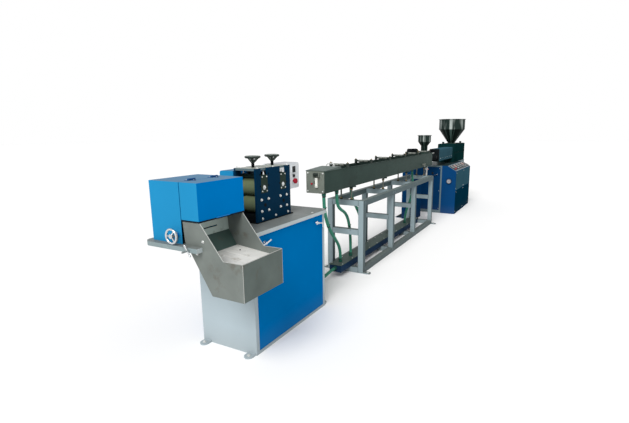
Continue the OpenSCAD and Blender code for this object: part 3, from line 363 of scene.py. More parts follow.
def slab(low, high, corner=0.003, edge=0.0015, axis=2, arc=5):
    """A plate with rounded corners and eased edges: a rounded rectangle carried along one axis, drawn
    in by the edge at both ends, where it closes to the middle."""
    low = np.asarray(low, float)
    high = np.asarray(high, float)
    first, second = [(1, 2), (2, 0), (0, 1)][axis]
    middle = (low + high) / 2
    half = (high - low) / 2
    corner = min(corner, 0.98 * half[first], 0.98 * half[second])
    edge = min(edge, 0.9 * corner, 0.45 * (high - low)[axis])
    quarter = np.repeat(np.arange(4), arc)
    angle = np.tile(np.linspace(0, np.pi / 2, arc), 4) + quarter * np.pi / 2
    sign_a = np.sign(np.cos(quarter * np.pi / 2 + np.pi / 4))
    sign_b = np.sign(np.sin(quarter * np.pi / 2 + np.pi / 4))
    draw_in = np.array([edge, edge, 0.0, 0.0, edge, edge])[:, None]
    keep = np.array([0.0, 1.0, 1.0, 1.0, 1.0, 0.0])[:, None]
    along = np.array([low[axis], low[axis], low[axis] + edge, high[axis] - edge, high[axis], high[axis]])
    points = np.zeros((6, 4 * arc, 3))
    points[..., axis] = along[:, None]
    out_a = sign_a * (half[first] - corner) + (corner - draw_in) * np.cos(angle)
    out_b = sign_b * (half[second] - corner) + (corner - draw_in) * np.sin(angle)
    points[..., first] = middle[first] + keep * out_a
    points[..., second] = middle[second] + keep * out_b
    return points, True


def hex_bolt(centre, axis, across, height, finish, washer=True):
    """A hexagon head with a chamfered top, and the round washer under it."""
    radius = across / 2
    head = turned([(0, 0), (0, radius), (0.8 * height, radius), (height, 0.82 * radius), (height, 0)],
                  centre, axis, 6)
    if not washer:
        return [(head, finish)]
    lift = np.asarray(axis, float) * WASHER_T
    disc = turned([(0, 0), (0, 1.5 * radius), (WASHER_T, 1.45 * radius), (WASHER_T, 0)], centre, axis, 20)
    return [(disc, finish), ((head[0] + lift, True), finish)]


def cap_screw(centre, axis, radius, height, finish):
    """A round socket head: a turned cap with a sunk middle."""
    cap = turned([(0, 0), (0, radius), (0.8 * height, radius), (height, 0.85 * radius),
                  (height, 0.55 * radius), (0.5 * height, 0.5 * radius), (0.5 * height, 0)],
                 centre, axis, 16)
    return [(cap, finish)]


def spread(fixing, xs, ys, zs, *size, **more):
    """One bolt or screw at every meeting of the places along, across and up the line."""
    return [part for x in xs for y in ys for z in zs for part in fixing((x, y, z), *size, **more)]


def weld_bead(start, end, finish, points=30, radius=0.0040, depth=0.0007, rate=1.9, steps=8, beside=FAR):
    """A straight weld whose thickness ripples along it."""
    ripple = radius + depth * np.cos(rate * np.arange(points))
    return carried(np.linspace(start, end, points), ripple, steps, beside), finish


def louvres(across, heights, faces, half, corner, edge, axis, finish):
    """A column of pressed louvres: a rounded bar at each height, reaching from side to side of the
    column and between two depths along the axis that it faces."""
    bars = []
    for z in heights:
        low = np.array([across[0], across[0], z - half])
        high = np.array([across[1], across[1], z + half])
        low[axis], high[axis] = faces
        bars.append((slab(low, high, corner, edge, axis), finish))
    return bars


def laid(grid, origin, tilt):
    """A shape drawn on the level, tipped about the line's own direction and set down at its place."""
    points, around = grid
    lean = np.array([[1, 0, 0], [0, math.cos(tilt), -math.sin(tilt)],
                     [0, math.sin(tilt), math.cos(tilt)]])
    return points @ lean.T + np.asarray(origin, float), around


cabinet_grey = worked_finish(
    "cabinet_grey_enamel", (164, 177, 183), rough=0.5, cloud=0.04, soil=0.35, stain=(138, 148, 154),
    stain_scale=3, stain_from=0.68)
panel_blue = worked_finish(
    "panel_blue_enamel", (0, 108, 174), shine=0.0, cloud=0.06, cloud_scale=1.6, soil=0.2,
    stain=(0, 98, 160), stain_scale=4, stain_from=0.62)
bright_chrome = worked_finish(
    "bright_chrome", (205, 208, 210), metal=1.0, rough=0.14, gloss_drift=0.05, cloud=0.04, grain_scale=200,
    bump=0.01)
zinc = worked_finish(
    "zinc_plated_bolt", (214, 216, 214), metal=0.7, rough=0.30, cloud=0.06, cloud_scale=40,
    grain_scale=260, bump=0.02)
dress(cabinet_grey, "cabinet_body", "cabinet_feet")
dress(panel_blue, "cabinet_panels")
dress(bright_chrome, "panel_latches")
WASHER_T = 0.0022
LATCH_IN = 0.135
LATCH_DROP = 0.065
LATCH_OUT = 0.020
LEVER_LONG = (0.066, -0.012)
LEVER_DROP = (0.074, -0.048)
table_low, table_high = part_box("table_plate")
levers = []
for latch_x, outward in ((cab_low.x + LATCH_IN, -1), (cab_high.x - LATCH_IN, 1)):
    hub = np.array([latch_x, cab_low.y - LATCH_OUT, table_low.z - LATCH_DROP])
    elbow = hub + np.array([outward * LEVER_LONG[0], 0.0, LEVER_LONG[1]])
    tail = hub + np.array([outward * LEVER_DROP[0], 0.0, LEVER_DROP[1]])
    for lever_start, lever_end in ((hub, elbow), (elbow, tail)):
        levers.append((carried(np.linspace(lever_start, lever_end, 6), 0.0055, 14), bright_chrome))
    for knuckle in (elbow, tail):
        ball = np.linspace(0, np.pi, 9)
        profile = np.stack([-0.0075 * np.cos(ball), 0.0075 * np.sin(ball)], -1)
        levers.append((turned(profile, knuckle, FAR, 18), bright_chrome))
piece("latch_levers", levers)
feet_low, feet_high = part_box("cabinet_feet")
TAB_T = 0.012
TAB_BACK = 0.035
ANCHOR_IN = 0.045
TAB_WELD = {"points": 34, "radius": 0.0035, "depth": 0.0006, "steps": 10, "beside": ALONG}
tab_y = (cab_low.y + ANCHOR_IN, cab_high.y - ANCHOR_IN)
anchors = spread(
    hex_bolt, (feet_low.x + TAB_BACK, feet_high.x - TAB_BACK), tab_y, (TAB_T,), UP, 0.022, 0.008, zinc)
piece("cabinet_anchor_bolts", anchors)
tab_welds = []
for x in (cab_low.x - 0.001, cab_high.x + 0.001):
    for y in tab_y:
        tab_welds.append(weld_bead((x, y - 0.033, TAB_T), (x, y + 0.033, TAB_T), cabinet_grey, **TAB_WELD))
piece("cabinet_tab_welds", tab_welds)

# Table plate. One thick plate, ground on top and painted pale grey on its edges, with painted shade on its
# end towards the cutter, screwed down on the cabinet and carried past it under the cutter.
# Painted shade: the plate's end towards the cutter takes a darker grey than its other edges.
table_grey = worked_finish(
    "table_ground_plate", (182, 192, 194), rough=0.42, cloud_scale=4, top=(116, 121, 119),
    end=(127, 141, 143), stain=(98, 101, 99), stain_scale=6, grain=(1, 8, 8))
dress(table_grey, "table_plate")
TABLE_SCREW_IN = 0.035
table_screws = spread(
    cap_screw, (cab_low.x + 0.86, cab_high.x + 0.02),
    (table_low.y + TABLE_SCREW_IN, table_high.y - TABLE_SCREW_IN), (table_high.z,), UP, 0.009, 0.004, zinc)
piece("table_screws", table_screws)

# Cutter housing and hood. Bright blue sheet boxes with their seams ground flush; the hood turns up on two
# screwed hinges, and a dark strip round its lower edge is a painted shadow under that edge. Motor and fly
# knife are inside.
# Painted sheen and light: the blue's top takes a greyer blue as painted sheen, and its end towards the cutter
# a lighter, cyan blue as painted light.
cutter_blue = worked_finish(
    "cutter_blue_enamel", (0, 119, 194), rough=0.42, cloud=0.05, cloud_scale=2.2, shine=0.0,
    top=(102, 135, 163), end=(36, 132, 180))
hinge_blue = worked_finish("hinge_painted_over", (36, 84, 134), rough=0.42, cloud=0.1, grain_scale=200)
motor_grey = worked_finish("motor_grey_enamel", (46, 56, 62), rough=0.5, cloud=0.1)
knife_steel = worked_finish("ground_knife_steel", (200, 204, 206), metal=1.0, rough=0.2, grain=(1, 30, 1))
dress(cutter_blue, "cutter_housing", "cutter_hood")
dress(hinge_blue, "hood_hinge_fixed", "hood_hinge_moving")
dress(motor_grey, "cutter_motor")
dress(knife_steel, "cutter_knife")
dress(bright_chrome, "cutter_handwheel", "clamp_handle")
wheel_low, wheel_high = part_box("cutter_handwheel")
WHEEL_RIM = 0.0072
wheel_r = (wheel_high.z - wheel_low.z) / 2
wheel_at = (wheel_low.x + WHEEL_RIM, *middle_of("cutter_handwheel")[1:])
rim_turn = np.linspace(0, 2 * np.pi, 15)
rim_r = wheel_r - WHEEL_RIM + WHEEL_RIM * np.cos(rim_turn)
rim_profile = np.stack([WHEEL_RIM * np.sin(rim_turn), rim_r], -1)
wheel_cap = [(-0.004, 0), (-0.004, 0.011), (0.004, 0.013), (0.012, 0.013), (0.012, 0)]
piece("handwheel_rim", [(turned(rim_profile, wheel_at, AGAINST, 64), bright_chrome),
                        (turned(wheel_cap, wheel_at, ALONG, 28), bright_chrome)],
      body="cutter_handwheel")
cut_low, cut_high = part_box("cutter_housing")
hood_low, hood_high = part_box("cutter_hood")
LEAF_TOP = hood_high.z + 0.003
SEAM_Y = -0.046
HINGE_INSET = 0.110
HINGE_SCREW = 0.022
HINGE_HEAD = (0.0042, 0.0016)
hinge_x = (hood_low.x + HINGE_INSET, hood_high.x - HINGE_INSET)
fixed_x = [x + shift for x in hinge_x for shift in (-HINGE_SCREW, HINGE_SCREW)]
fixed_screws = spread(cap_screw, fixed_x, (SEAM_Y + HINGE_SCREW,), (LEAF_TOP,), UP, *HINGE_HEAD, zinc)
moving_screws = spread(cap_screw, hinge_x, (SEAM_Y - HINGE_SCREW,), (LEAF_TOP,), UP, *HINGE_HEAD, zinc)
piece("hinge_screws_fixed", fixed_screws)
piece("hinge_screws_moving", moving_screws, body="cutter_hood")
lift_low = (hood_low.x + 0.150, hood_low.y - 0.006, hood_low.z + 0.004)
lift_high = (hood_high.x - 0.150, hood_low.y + 0.0005, hood_low.z + 0.010)
piece("hood_finger_edge", [(slab(lift_low, lift_high, 0.003, 0.001, axis=0), cutter_blue)],
      body="cutter_hood")
# Painted shadow: a dark strip round the hood's lower edge stands for the shadow line under that edge.
painted_shadow_strip = worked_finish("hood_edge_painted_shadow", (16, 24, 34), rough=0.6, cloud=0.1)
SHADOW_STRIP_OUT = 0.002
SHADOW_STRIP_IN = 0.0028
SHADOW_STRIP_ROUND = (0.002, 0.0005)
shadow_strip_z = (hood_low.z - 0.0025, hood_low.z + 0.0075)
shadow_strip_y = (hood_low.y - SHADOW_STRIP_OUT, hood_low.y + SHADOW_STRIP_IN)
front_low = (hood_low.x - SHADOW_STRIP_OUT, shadow_strip_y[0], shadow_strip_z[0])
front_high = (hood_high.x + SHADOW_STRIP_OUT, shadow_strip_y[1], shadow_strip_z[1])
shadow_strip_parts = [(slab(front_low, front_high, *SHADOW_STRIP_ROUND, axis=0), painted_shadow_strip)]
for low_x, high_x in ((hood_low.x - SHADOW_STRIP_OUT, hood_low.x + SHADOW_STRIP_IN),
                      (hood_high.x - SHADOW_STRIP_IN, hood_high.x + SHADOW_STRIP_OUT)):
    end_low = (low_x, shadow_strip_y[1] + 0.0002, shadow_strip_z[0])
    end_high = (high_x, hood_high.y - 0.002, shadow_strip_z[1])
    shadow_strip_parts.append((slab(end_low, end_high, *SHADOW_STRIP_ROUND, axis=1), painted_shadow_strip))
piece("hood_edge_shadow_strip", shadow_strip_parts, body="cutter_hood")
housing_screws = spread(
    hex_bolt, np.linspace(hood_low.x + 0.05, hood_high.x - 0.05, 4), (cut_high.y,), (cut_low.z + 0.025,),
    FAR, 0.011, 0.005, zinc)
piece("housing_back_bolts", housing_screws)

# Delivery chute. Bent and welded stainless sheet, mill finish, with hemmed edges and an open tray
# whose loose floor slopes to the operator.
MILL = {"metal": 0.2, "cloud": 0.14, "cloud_scale": 7, "grain": (1, 1, 14), "grain_scale": 40,
        "bump": 0.05, "stain_scale": 8, "stain_from": 0.58}
chute_steel = worked_finish("chute_stainless", (114, 120, 116), stain=(98, 95, 86), **MILL)
# Painted shade and light on the chute sheet: its slope under the hood takes a dark green-grey as painted
# shade, and its upright back a much lighter grey as painted light.
painted_slope_shade = ("Z", 0.53, 0.12, (76, 97, 92))
painted_back_light = ("Z", 0.09, 0.05, (188, 204, 198))
sheet_steel = worked_finish(
    "chute_sheet_stainless", (94, 104, 100), stain=(92, 88, 79), facing=(painted_slope_shade, painted_back_light), **MILL)
tray_steel = worked_finish(
    "tray_floor_stainless", (222, 221, 216), metal=0.1, cloud=0.1, cloud_scale=10, grain=(14, 1, 1),
    grain_scale=40, bump=0.06, stain=(166, 161, 150), stain_scale=12, stain_from=0.55)
hem_steel = worked_finish(
    "chute_bright_edge", (170, 172, 168), metal=0.2, rough=0.35, cloud=0.1, cloud_scale=14)
dress(chute_steel, "chute_sides")
dress(sheet_steel, "chute_sheet")
dress(tray_steel, "chute_floor")
chute_low, chute_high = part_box("chute_sides")
MOUTH_Y = -0.207
RIM_LEN = 0.150
RIM_DROP = 0.068
SHEET_HALF = 0.0015
rim_z = table_high.z - RIM_DROP
hems = []
for x in (chute_low.x + SHEET_HALF, chute_high.x - SHEET_HALF):
    hem_corners = [(x, MOUTH_Y, chute_high.z), (x, chute_low.y + RIM_LEN, rim_z), (x, chute_low.y, rim_z)]
    hems += [(carried(np.linspace(a, b, 8), 0.0022, 10, ALONG), hem_steel)
             for a, b in zip(hem_corners[:-1], hem_corners[1:])]
    hems.append(weld_bead((x, chute_low.y + 0.001, chute_low.z + 0.002), (x, chute_low.y + 0.001, rim_z),
                          hem_steel, points=90, radius=0.0020, depth=0.0004, rate=2.1))
floor_low, floor_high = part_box("chute_floor")
TRAY_DEPTH = 0.060
TRAY_BACK = 0.090
CREASE_SHARES = (0.46, 0.60)
CREASE_LEAN = 0.024
floor_lift = floor_high.z - (table_high.z - TRAY_BACK)
tray_width = chute_high.x - chute_low.x
for share, lean in zip(CREASE_SHARES, (-CREASE_LEAN, CREASE_LEAN)):
    crease_x = chute_low.x + share * tray_width
    crease_front = np.array([crease_x + lean, floor_low.y + 0.010, rim_z - TRAY_DEPTH + floor_lift])
    crease_back = np.array([crease_x, floor_high.y - 0.002, floor_high.z])
    hems.append((carried(np.linspace(crease_front, crease_back, 12), 0.0016, 8, ALONG), tray_steel))
floor_slope = (floor_high.z - (rim_z - TRAY_DEPTH + floor_lift)) / (floor_high.y - floor_low.y)
screw_y = floor_high.y - 0.090
screw_at = (chute_low.x + 0.80 * tray_width, screw_y,
            floor_high.z + floor_slope * (screw_y - floor_high.y))
hems += cap_screw(screw_at, UP, 0.006, 0.003, motor_grey)
rim_y = chute_low.y + SHEET_HALF
front_rim = np.linspace((chute_low.x, rim_y, rim_z), (chute_high.x, rim_y, rim_z), 8)
hems.append((carried(front_rim, 0.0024, 10), hem_steel))
piece("chute_hems", hems)
UPPER_BOLT = (-0.224, 0.962)
LOWER_BOLT = (-0.169, 0.878)
chute_bolts = []
for spot in (UPPER_BOLT, LOWER_BOLT):
    chute_bolts += hex_bolt((chute_low.x, *spot), AGAINST, 0.013, 0.006, zinc)
piece("chute_side_bolts", chute_bolts)

# Haul-off. Two thick navy side plates on a black base, with rubber rollers whose upper pair rides in
# green bearing blocks under the bridge and its press screws.
navy = worked_finish("navy_enamel", (3, 43, 68), rough=0.34, cloud=0.1, shine=0.01, ease=0.002)
black_iron = worked_finish(
    "black_iron", (20, 24, 26), metal=0.1, rough=0.5, cloud=0.15, cloud_scale=12, shine=0.02)
# Painted light: the bridge's top takes a paler grey than its sides.
bridge_grey = worked_finish("bridge_grey_enamel", (92, 110, 114), cloud=0.1, top=(150, 156, 148))
block_green = worked_finish(
    "block_green_enamel", (36, 52, 44), rough=0.45, cloud=0.2, cloud_scale=14, stain=(20, 30, 28),
    stain_scale=20, stain_from=0.56)
roller_rubber = worked_finish(
    "olive_roller_rubber", (94, 104, 77), rough=0.6, shine=0.02, cloud=0.14, cloud_scale=10,
    grain=(6, 1, 6), grain_scale=80, bump=0.08, stain=(120, 110, 68), stain_from=0.56)
shaft_steel = worked_finish("ground_shaft_steel", (170, 174, 176), metal=1.0, rough=0.22, grain=(1, 20, 1))
dark_chrome = worked_finish(
    "worn_chrome", (120, 124, 126), metal=1.0, rough=0.18, cloud=0.2, cloud_scale=30)
dress(black_iron, "haul_off_base")
dress(navy, "haul_off_plates")
dress(bridge_grey, "haul_off_bridge")
dress(block_green, "press_block_1", "press_block_2")
# Painted reflection and highlight on the press wheels: the chrome is coloured dark for the dark surroundings
# it reflects, and faces turned up take a pale colour as a painted highlight.
painted_top_highlight = ("Z", 0.92, 0.10, (184, 190, 186))
wheel_chrome = worked_finish(
    "press_wheel_chrome", (56, 64, 60), metal=0.5, rough=0.25, cloud=0.2, cloud_scale=30,
    facing=(painted_top_highlight,))
dress(wheel_chrome, "press_wheel_1", "press_wheel_2")
plates_low, plates_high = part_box("haul_off_plates")
bridge_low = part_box("haul_off_bridge")[0]
ROLLER_HALF = 0.082
ROLLER_R = 0.066
SHAFT_R = 0.020
CORE_R = 0.030
for roller in ("lower_roller_1", "lower_roller_2", "upper_roller_1", "upper_roller_2"):
    low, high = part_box(roller)
    centre = np.array([(low.x + high.x) / 2, 0.0, (low.z + high.z) / 2])
    half = (high.y - low.y) / 2
    tread = [(-ROLLER_HALF, CORE_R), (-ROLLER_HALF, ROLLER_R - 0.004), (-ROLLER_HALF + 0.004, ROLLER_R),
             (ROLLER_HALF - 0.004, ROLLER_R), (ROLLER_HALF, ROLLER_R - 0.004), (ROLLER_HALF, CORE_R)]
    core = [(-half, 0.0), (-half, SHAFT_R - 0.002), (-half + 0.002, SHAFT_R), (-ROLLER_HALF, SHAFT_R),
            (-ROLLER_HALF, CORE_R), (ROLLER_HALF, CORE_R), (ROLLER_HALF, SHAFT_R), (half - 0.002, SHAFT_R),
            (half, SHAFT_R - 0.002), (half, 0.0)]
    parts = [(turned(tread, centre, FAR, 64), roller_rubber),
             (turned(core, centre, FAR, 48), shaft_steel)]
    if roller.startswith("upper"):
        for outward in (-1, 1):
            shaft_end = centre + np.array([0.0, outward * half, 0.0])
            parts += hex_bolt(shaft_end, (0, outward, 0), 0.017, 0.007, zinc)
    piece(roller + "_turned", parts, body=roller, stands_for=(roller,))
BOLT_OUT = 0.045
STUD_Y = 0.098
plates_middle = middle_of("haul_off_plates")[0]
plate_faces = ((-1, plates_low.y), (1, plates_high.y))
plate_bolts = []
for outward, face in plate_faces:
    facing = (0, outward, 0)
    for roller in ("lower_roller_1", "lower_roller_2"):
        axis_x, _, axis_z = middle_of(roller)
        plate_bolts += spread(
            hex_bolt, (axis_x - BOLT_OUT, axis_x + BOLT_OUT), (face,),
            (axis_z - BOLT_OUT, axis_z + BOLT_OUT), facing, 0.015, 0.008, zinc)
        plate_bolts += cap_screw((axis_x, face, axis_z), facing, 0.014, 0.003, black_iron)
    plate_bolts += spread(
        hex_bolt, np.linspace(plates_low.x + 0.065, plates_high.x - 0.045, 3), (face,),
        (plates_low.z + 0.022,), facing, 0.014, 0.007, zinc)
    plate_bolts += spread(
        hex_bolt, (plates_low.x + 0.030, plates_middle, plates_high.x - 0.030), (outward * STUD_Y,),
        (plates_high.z,), UP, 0.012, 0.008, zinc)
piece("haul_off_bolts", plate_bolts)
SLOT_HALF = 0.042
slot_edges = []
for roller in ("upper_roller_1", "upper_roller_2"):
    axis_x = middle_of(roller)[0]
    keeper_x = (axis_x - SLOT_HALF - 0.010, axis_x + SLOT_HALF + 0.010)
    for outward, face in plate_faces:
        slot_edges += spread(
            cap_screw, keeper_x, (face,), (bridge_low.z - 0.120, bridge_low.z - 0.030), (0, outward, 0),
            0.0055, 0.004, black_iron)
piece("slot_keeper_screws", slot_edges)
PRESS_RIM = 0.007
GRIP_R = 0.0105
SPOKE_IN = 0.014
SPOKE_DROP = 0.033
for number in ("1", "2"):
    block_low, block_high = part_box("press_block_" + number)
    middle_x = middle_of("press_block_" + number)[0]
    studs = []
    for outward in (-1, 1):
        foot = np.array([middle_x, outward * STUD_Y, block_high.z])
        studs += hex_bolt(foot, UP, 0.017, 0.010, zinc, washer=False)
        stud = [(0, 0), (0, 0.005), (0.022, 0.005), (0.024, 0.0035), (0.024, 0)]
        studs.append((turned(stud, foot, UP, 16), zinc))
        face = outward * (block_high.y - block_low.y) / 2
        studs += spread(
            cap_screw, (middle_x - 0.028, middle_x + 0.028), (face,),
            (block_low.z + 0.014, block_high.z - 0.016), (0, outward, 0), 0.006, 0.004, zinc)
    piece("press_block_studs_" + number, studs, body="press_block_" + number)
    wheel_low, wheel_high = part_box("press_wheel_" + number)
    ridge = []
    for turn in range(14):
        step = 0.0025 * turn
        ridge += [(step, 0.0112), (step + 0.0012, 0.0128)]
    thread_at = (middle_x, 0.0, plates_high.z + 0.001)
    thread = turned([(0, 0.0)] + ridge + [(0.0350, 0.0)], thread_at, UP, 24)
    dome_at = (middle_x, 0.0, wheel_high.z - 0.030)
    dome = turned([(0, 0), (0, 0.013), (0.008, 0.013), (0.013, 0.010), (0.016, 0.005), (0.017, 0)],
                  dome_at, UP, 24)
    piece("press_screw_thread_" + number, [(thread, black_iron), (dome, bright_chrome)],
          body="press_wheel_" + number)
    rim_at = np.array([middle_x, 0.0, wheel_high.z - PRESS_RIM])
    rim_reach = (wheel_high.x - wheel_low.x) / 2 - PRESS_RIM
    grip_turn = np.linspace(0, 2 * np.pi, 17)
    grip = np.stack([GRIP_R * np.sin(grip_turn), rim_reach + GRIP_R * np.cos(grip_turn)], -1)
    wheel_parts = [(turned(grip, rim_at, UP, 64), wheel_chrome)]
    for angle in np.radians((90, 210, 330)):
        outward = np.array([math.cos(angle), math.sin(angle), 0.0])
        sideways = np.array([-math.sin(angle), math.cos(angle), 0.0])
        inner_end = rim_at + SPOKE_IN * outward - np.array([0.0, 0.0, SPOKE_DROP])
        spoke_way = np.linspace(rim_at + rim_reach * outward, inner_end, 8)
        wheel_parts.append((carried(spoke_way, np.linspace(0.008, 0.011, 8), 14, sideways), wheel_chrome))
    piece("press_wheel_grip_" + number, wheel_parts, body="press_wheel_" + number)

# Drive cover and control box. A blue sheet cover over the roller drive, with pressed louvres on its
# back, and a pale box on a post with its readout and a red stop button towards the operator.
# Painted shade: the control box's top takes a darker grey than its sides.
box_white = worked_finish("box_white_enamel", (224, 228, 231), cloud=0.04, top=(168, 169, 174))
stop_red = worked_finish("stop_button_red", (164, 32, 50), rough=0.28, cloud=0.05, grain_scale=200)
screen_black = worked_finish("readout_black", (16, 20, 24), rough=0.2, cloud=0.1, shine=0.2)
dress(cutter_blue, "drive_cover")
dress(box_white, "control_box")
dress(stop_red, "stop_button")
cover_low, cover_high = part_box("drive_cover")
cover_z = np.linspace(cover_low.z + 0.12, cover_low.z + 0.26, 7)
cover_faces = (cover_high.y - 0.001, cover_high.y + 0.005)
cover_parts = []
for x in (cover_low.x + 0.12, cover_high.x - 0.12):
    cover_parts += louvres((x - 0.06, x + 0.06), cover_z, cover_faces, 0.005, 0.0045, 0.002, 1, cutter_blue)
cover_parts += spread(
    hex_bolt, np.linspace(cover_low.x + 0.03, cover_high.x - 0.03, 5), (cover_high.y,),
    (cover_low.z + 0.02,), FAR, 0.010, 0.005, zinc)
piece("drive_cover_louvres", cover_parts)
ctrl_low, ctrl_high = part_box("control_box")
button_x, _, button_z = middle_of("stop_button")
CTRL_FACE_Y = 0.079
face_parts = [
    (slab((button_x - 0.034, CTRL_FACE_Y - 0.006, button_z + 0.072),
          (button_x + 0.034, CTRL_FACE_Y + 0.001, button_z + 0.146),
          0.006, 0.002, axis=1), box_white),
    (slab((button_x - 0.026, CTRL_FACE_Y - 0.008, button_z + 0.080),
          (button_x + 0.026, CTRL_FACE_Y - 0.005, button_z + 0.138),
          0.004, 0.001, axis=1), screen_black),
    (slab((button_x - 0.014, CTRL_FACE_Y - 0.012, button_z + 0.036),
          (button_x + 0.014, CTRL_FACE_Y + 0.001, button_z + 0.062),
          0.004, 0.002, axis=1), screen_black),
    (turned([(0, 0.0165), (0.004, 0.0165), (0.004, 0.028), (0.003, 0.030), (0, 0.030)],
            (button_x, CTRL_FACE_Y, button_z), NEAR, 40), box_white),
    (turned([(0, 0), (0, 0.014), (0.006, 0.014), (0.006, 0.010), (0.024, 0.009), (0.026, 0.006),
             (0.026, 0)],
            (ctrl_low.x, CTRL_FACE_Y + 0.075, button_z - 0.010), AGAINST, 20), screen_black),
]
face_parts += spread(
    cap_screw, (ctrl_low.x + 0.022, ctrl_high.x - 0.022), (CTRL_FACE_Y,),
    (ctrl_high.z - 0.022, ctrl_high.z - 0.220), NEAR, 0.005, 0.003, zinc)
piece("control_face", face_parts)

# Tank frame. Square steel tube, welded into four portals with long rails, in pale blue-grey enamel,
# and bolted down at its end feet.
# Painted light: the frame's ends towards the cutter take a much lighter blue-grey, and its tops a slightly
# lighter grey, than the sides.
frame_grey = worked_finish(
    "frame_grey_enamel", (86, 100, 103), rough=0.45, cloud=0.09, cloud_scale=3, soil=0.3,
    stain=(80, 92, 94), stain_scale=6, stain_from=0.64, ease=0.004, shine=0.02, end=(141, 157, 162),
    top=(100, 111, 110))
dress(frame_grey, "frame_posts", "frame_crossbars", "frame_rails", "frame_feet")
posts_low, posts_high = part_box("frame_posts")
foot_low, foot_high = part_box("frame_feet")
TUBE = 0.064
PORTALS = 4
MID_BAR = 0.450
BEAD_IN = 0.003
inner_y = posts_high.y - TUBE
portal_x = np.linspace(posts_low.x, posts_high.x - TUBE, PORTALS)
beads = []
for x in portal_x:
    for z in (0.0, MID_BAR, posts_high.z - TUBE):
        for y in (-inner_y, inner_y):
            for face_x in (x, x + TUBE):
                beads.append(weld_bead((face_x, y, z + BEAD_IN), (face_x, y, z + TUBE - BEAD_IN), frame_grey))
            top = z + TUBE
            beads.append(weld_bead((x + BEAD_IN, y, top), (x + TUBE - BEAD_IN, y, top), frame_grey))
for x in (*(portal_x[:-1] + TUBE), *portal_x[1:]):
    for y in (posts_low.y, posts_high.y):
        for z in (0.0, posts_high.z - TUBE):
            beads.append(weld_bead((x, y, z + BEAD_IN), (x, y, z + TUBE - BEAD_IN), frame_grey))
piece("frame_weld_beads", beads)
frame_bolts = spread(
    hex_bolt, (posts_low.x + TUBE / 2, posts_high.x - TUBE / 2),
    (foot_low.y + TUBE / 2, foot_high.y - TUBE / 2), (TAB_T,), UP, 0.024, 0.010, zinc)
piece("frame_anchor_bolts", frame_bolts)


# Water tank. A long stainless trough with folded rims on levelling screws, closed by a lid at the
# outlet and crossed by guide rollers. A pale end plate carries the straw's guide block and roller.
def pierced(low, high, corner, hole_r, hole_at):
    """An upright plate across the line with rounded corners and one round hole: the outline and the
    hole have a point in each direction from the hole's middle, joined front, through and back."""
    outline = slab(low, high, corner, 0.0, axis=0)[0][2]
    away = outline[:, 1:] - np.asarray(hole_at)
    away /= np.linalg.norm(away, axis=1, keepdims=True)
    hole = np.concatenate([outline[:, :1], np.asarray(hole_at) + hole_r * away], axis=1)
    rows = []
    for ring, x in ((outline, high[0]), (outline, low[0]), (hole, low[0]), (hole, high[0]),
                    (outline, high[0])):
        row = ring.copy()
        row[:, 0] = x
        rows.append(row)
    return np.array(rows), True


tank_steel = worked_finish(
    "tank_stainless", (50, 66, 61), metal=0.05, rough=0.45, shine=0.02, cloud=0.16, cloud_scale=3,
    grain=(0.6, 10, 10), grain_scale=30, bump=0.04, stain=(44, 54, 50), stain_scale=4, stain_from=0.56)
lid_steel = worked_finish(
    "tank_lid_steel", (84, 96, 92), metal=0.1, rough=0.45, cloud=0.14, cloud_scale=5, stain=(64, 70, 68),
    stain_scale=7, stain_from=0.58)
end_steel = worked_finish(
    "tank_end_plate_steel", (116, 122, 114), metal=0.1, rough=0.45, cloud=0.12, cloud_scale=9,
    stain=(92, 86, 76), stain_scale=16, stain_from=0.58)
dark_guide = worked_finish("guide_dark_plastic", (46, 54, 50), rough=0.5, cloud=0.15, cloud_scale=12)
nylon = worked_finish("nylon_white", (226, 226, 218), rough=0.5, cloud=0.04, cloud_scale=20)
aged_brass = worked_finish("aged_brass", (142, 124, 88), metal=0.3, cloud=0.2, cloud_scale=30)
worn_steel = worked_finish("worn_grey_steel", (118, 122, 116), metal=0.3, cloud=0.2, cloud_scale=24)
dress(tank_steel, "tank_supports", "tank_trough", "tank_floor", "tank_ends", "coex_barrel")
dress(lid_steel, "tank_lid")
dress(dark_guide, "tank_guides")
LINE_Z = middle_of("tank_trough")[2]
HOLE_R = 0.020
TANK_RIM_Y = 0.103
end_x = tank_low.x
end_face = end_x - 0.004
block_face = end_x - 0.026
lug_face = end_x - 0.030
end_parts = [
    (pierced((end_face, -TANK_RIM_Y, tank_low.z + 0.002), (end_x, TANK_RIM_Y, tank_high.z - 0.002), 0.014,
             HOLE_R, (0.0, LINE_Z)),
     end_steel),
    (slab((block_face, -0.034, LINE_Z - 0.050), (end_face, -0.008, LINE_Z + 0.044), 0.004, 0.002,
          axis=2), nylon),
    (slab((lug_face, 0.008, LINE_Z + 0.056), (end_face, 0.016, LINE_Z + 0.096), 0.003, 0.001,
          axis=1), end_steel),
    (slab((lug_face, -0.056, LINE_Z + 0.056), (end_face, -0.048, LINE_Z + 0.096), 0.003, 0.001,
          axis=1), end_steel),
    (turned([(-0.028, 0), (-0.028, 0.012), (-0.024, 0.016), (0.024, 0.016), (0.028, 0.012), (0.028, 0)],
            (end_x - 0.024, -0.020, LINE_Z + 0.078), FAR, 28), dark_guide),
    (turned([(0, 0), (0, 0.009), (0.012, 0.009), (0.015, 0.006), (0.015, 0)],
            (end_face, 0.036, LINE_Z - 0.016), AGAINST, 20), stop_red),
]
end_parts += spread(
    hex_bolt, (end_face,), (-0.085, 0.085), (tank_low.z + 0.022, tank_high.z - 0.022), AGAINST, 0.011,
    0.005, zinc)
end_parts += spread(
    cap_screw, (block_face,), (-0.021,), (LINE_Z - 0.036, LINE_Z + 0.030), AGAINST, 0.005, 0.003, zinc)
piece("tank_outlet_fittings", end_parts)
lid_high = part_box("tank_lid")[1]
handle_y = np.array([-0.045, -0.045, -0.035, 0.035, 0.045, 0.045])
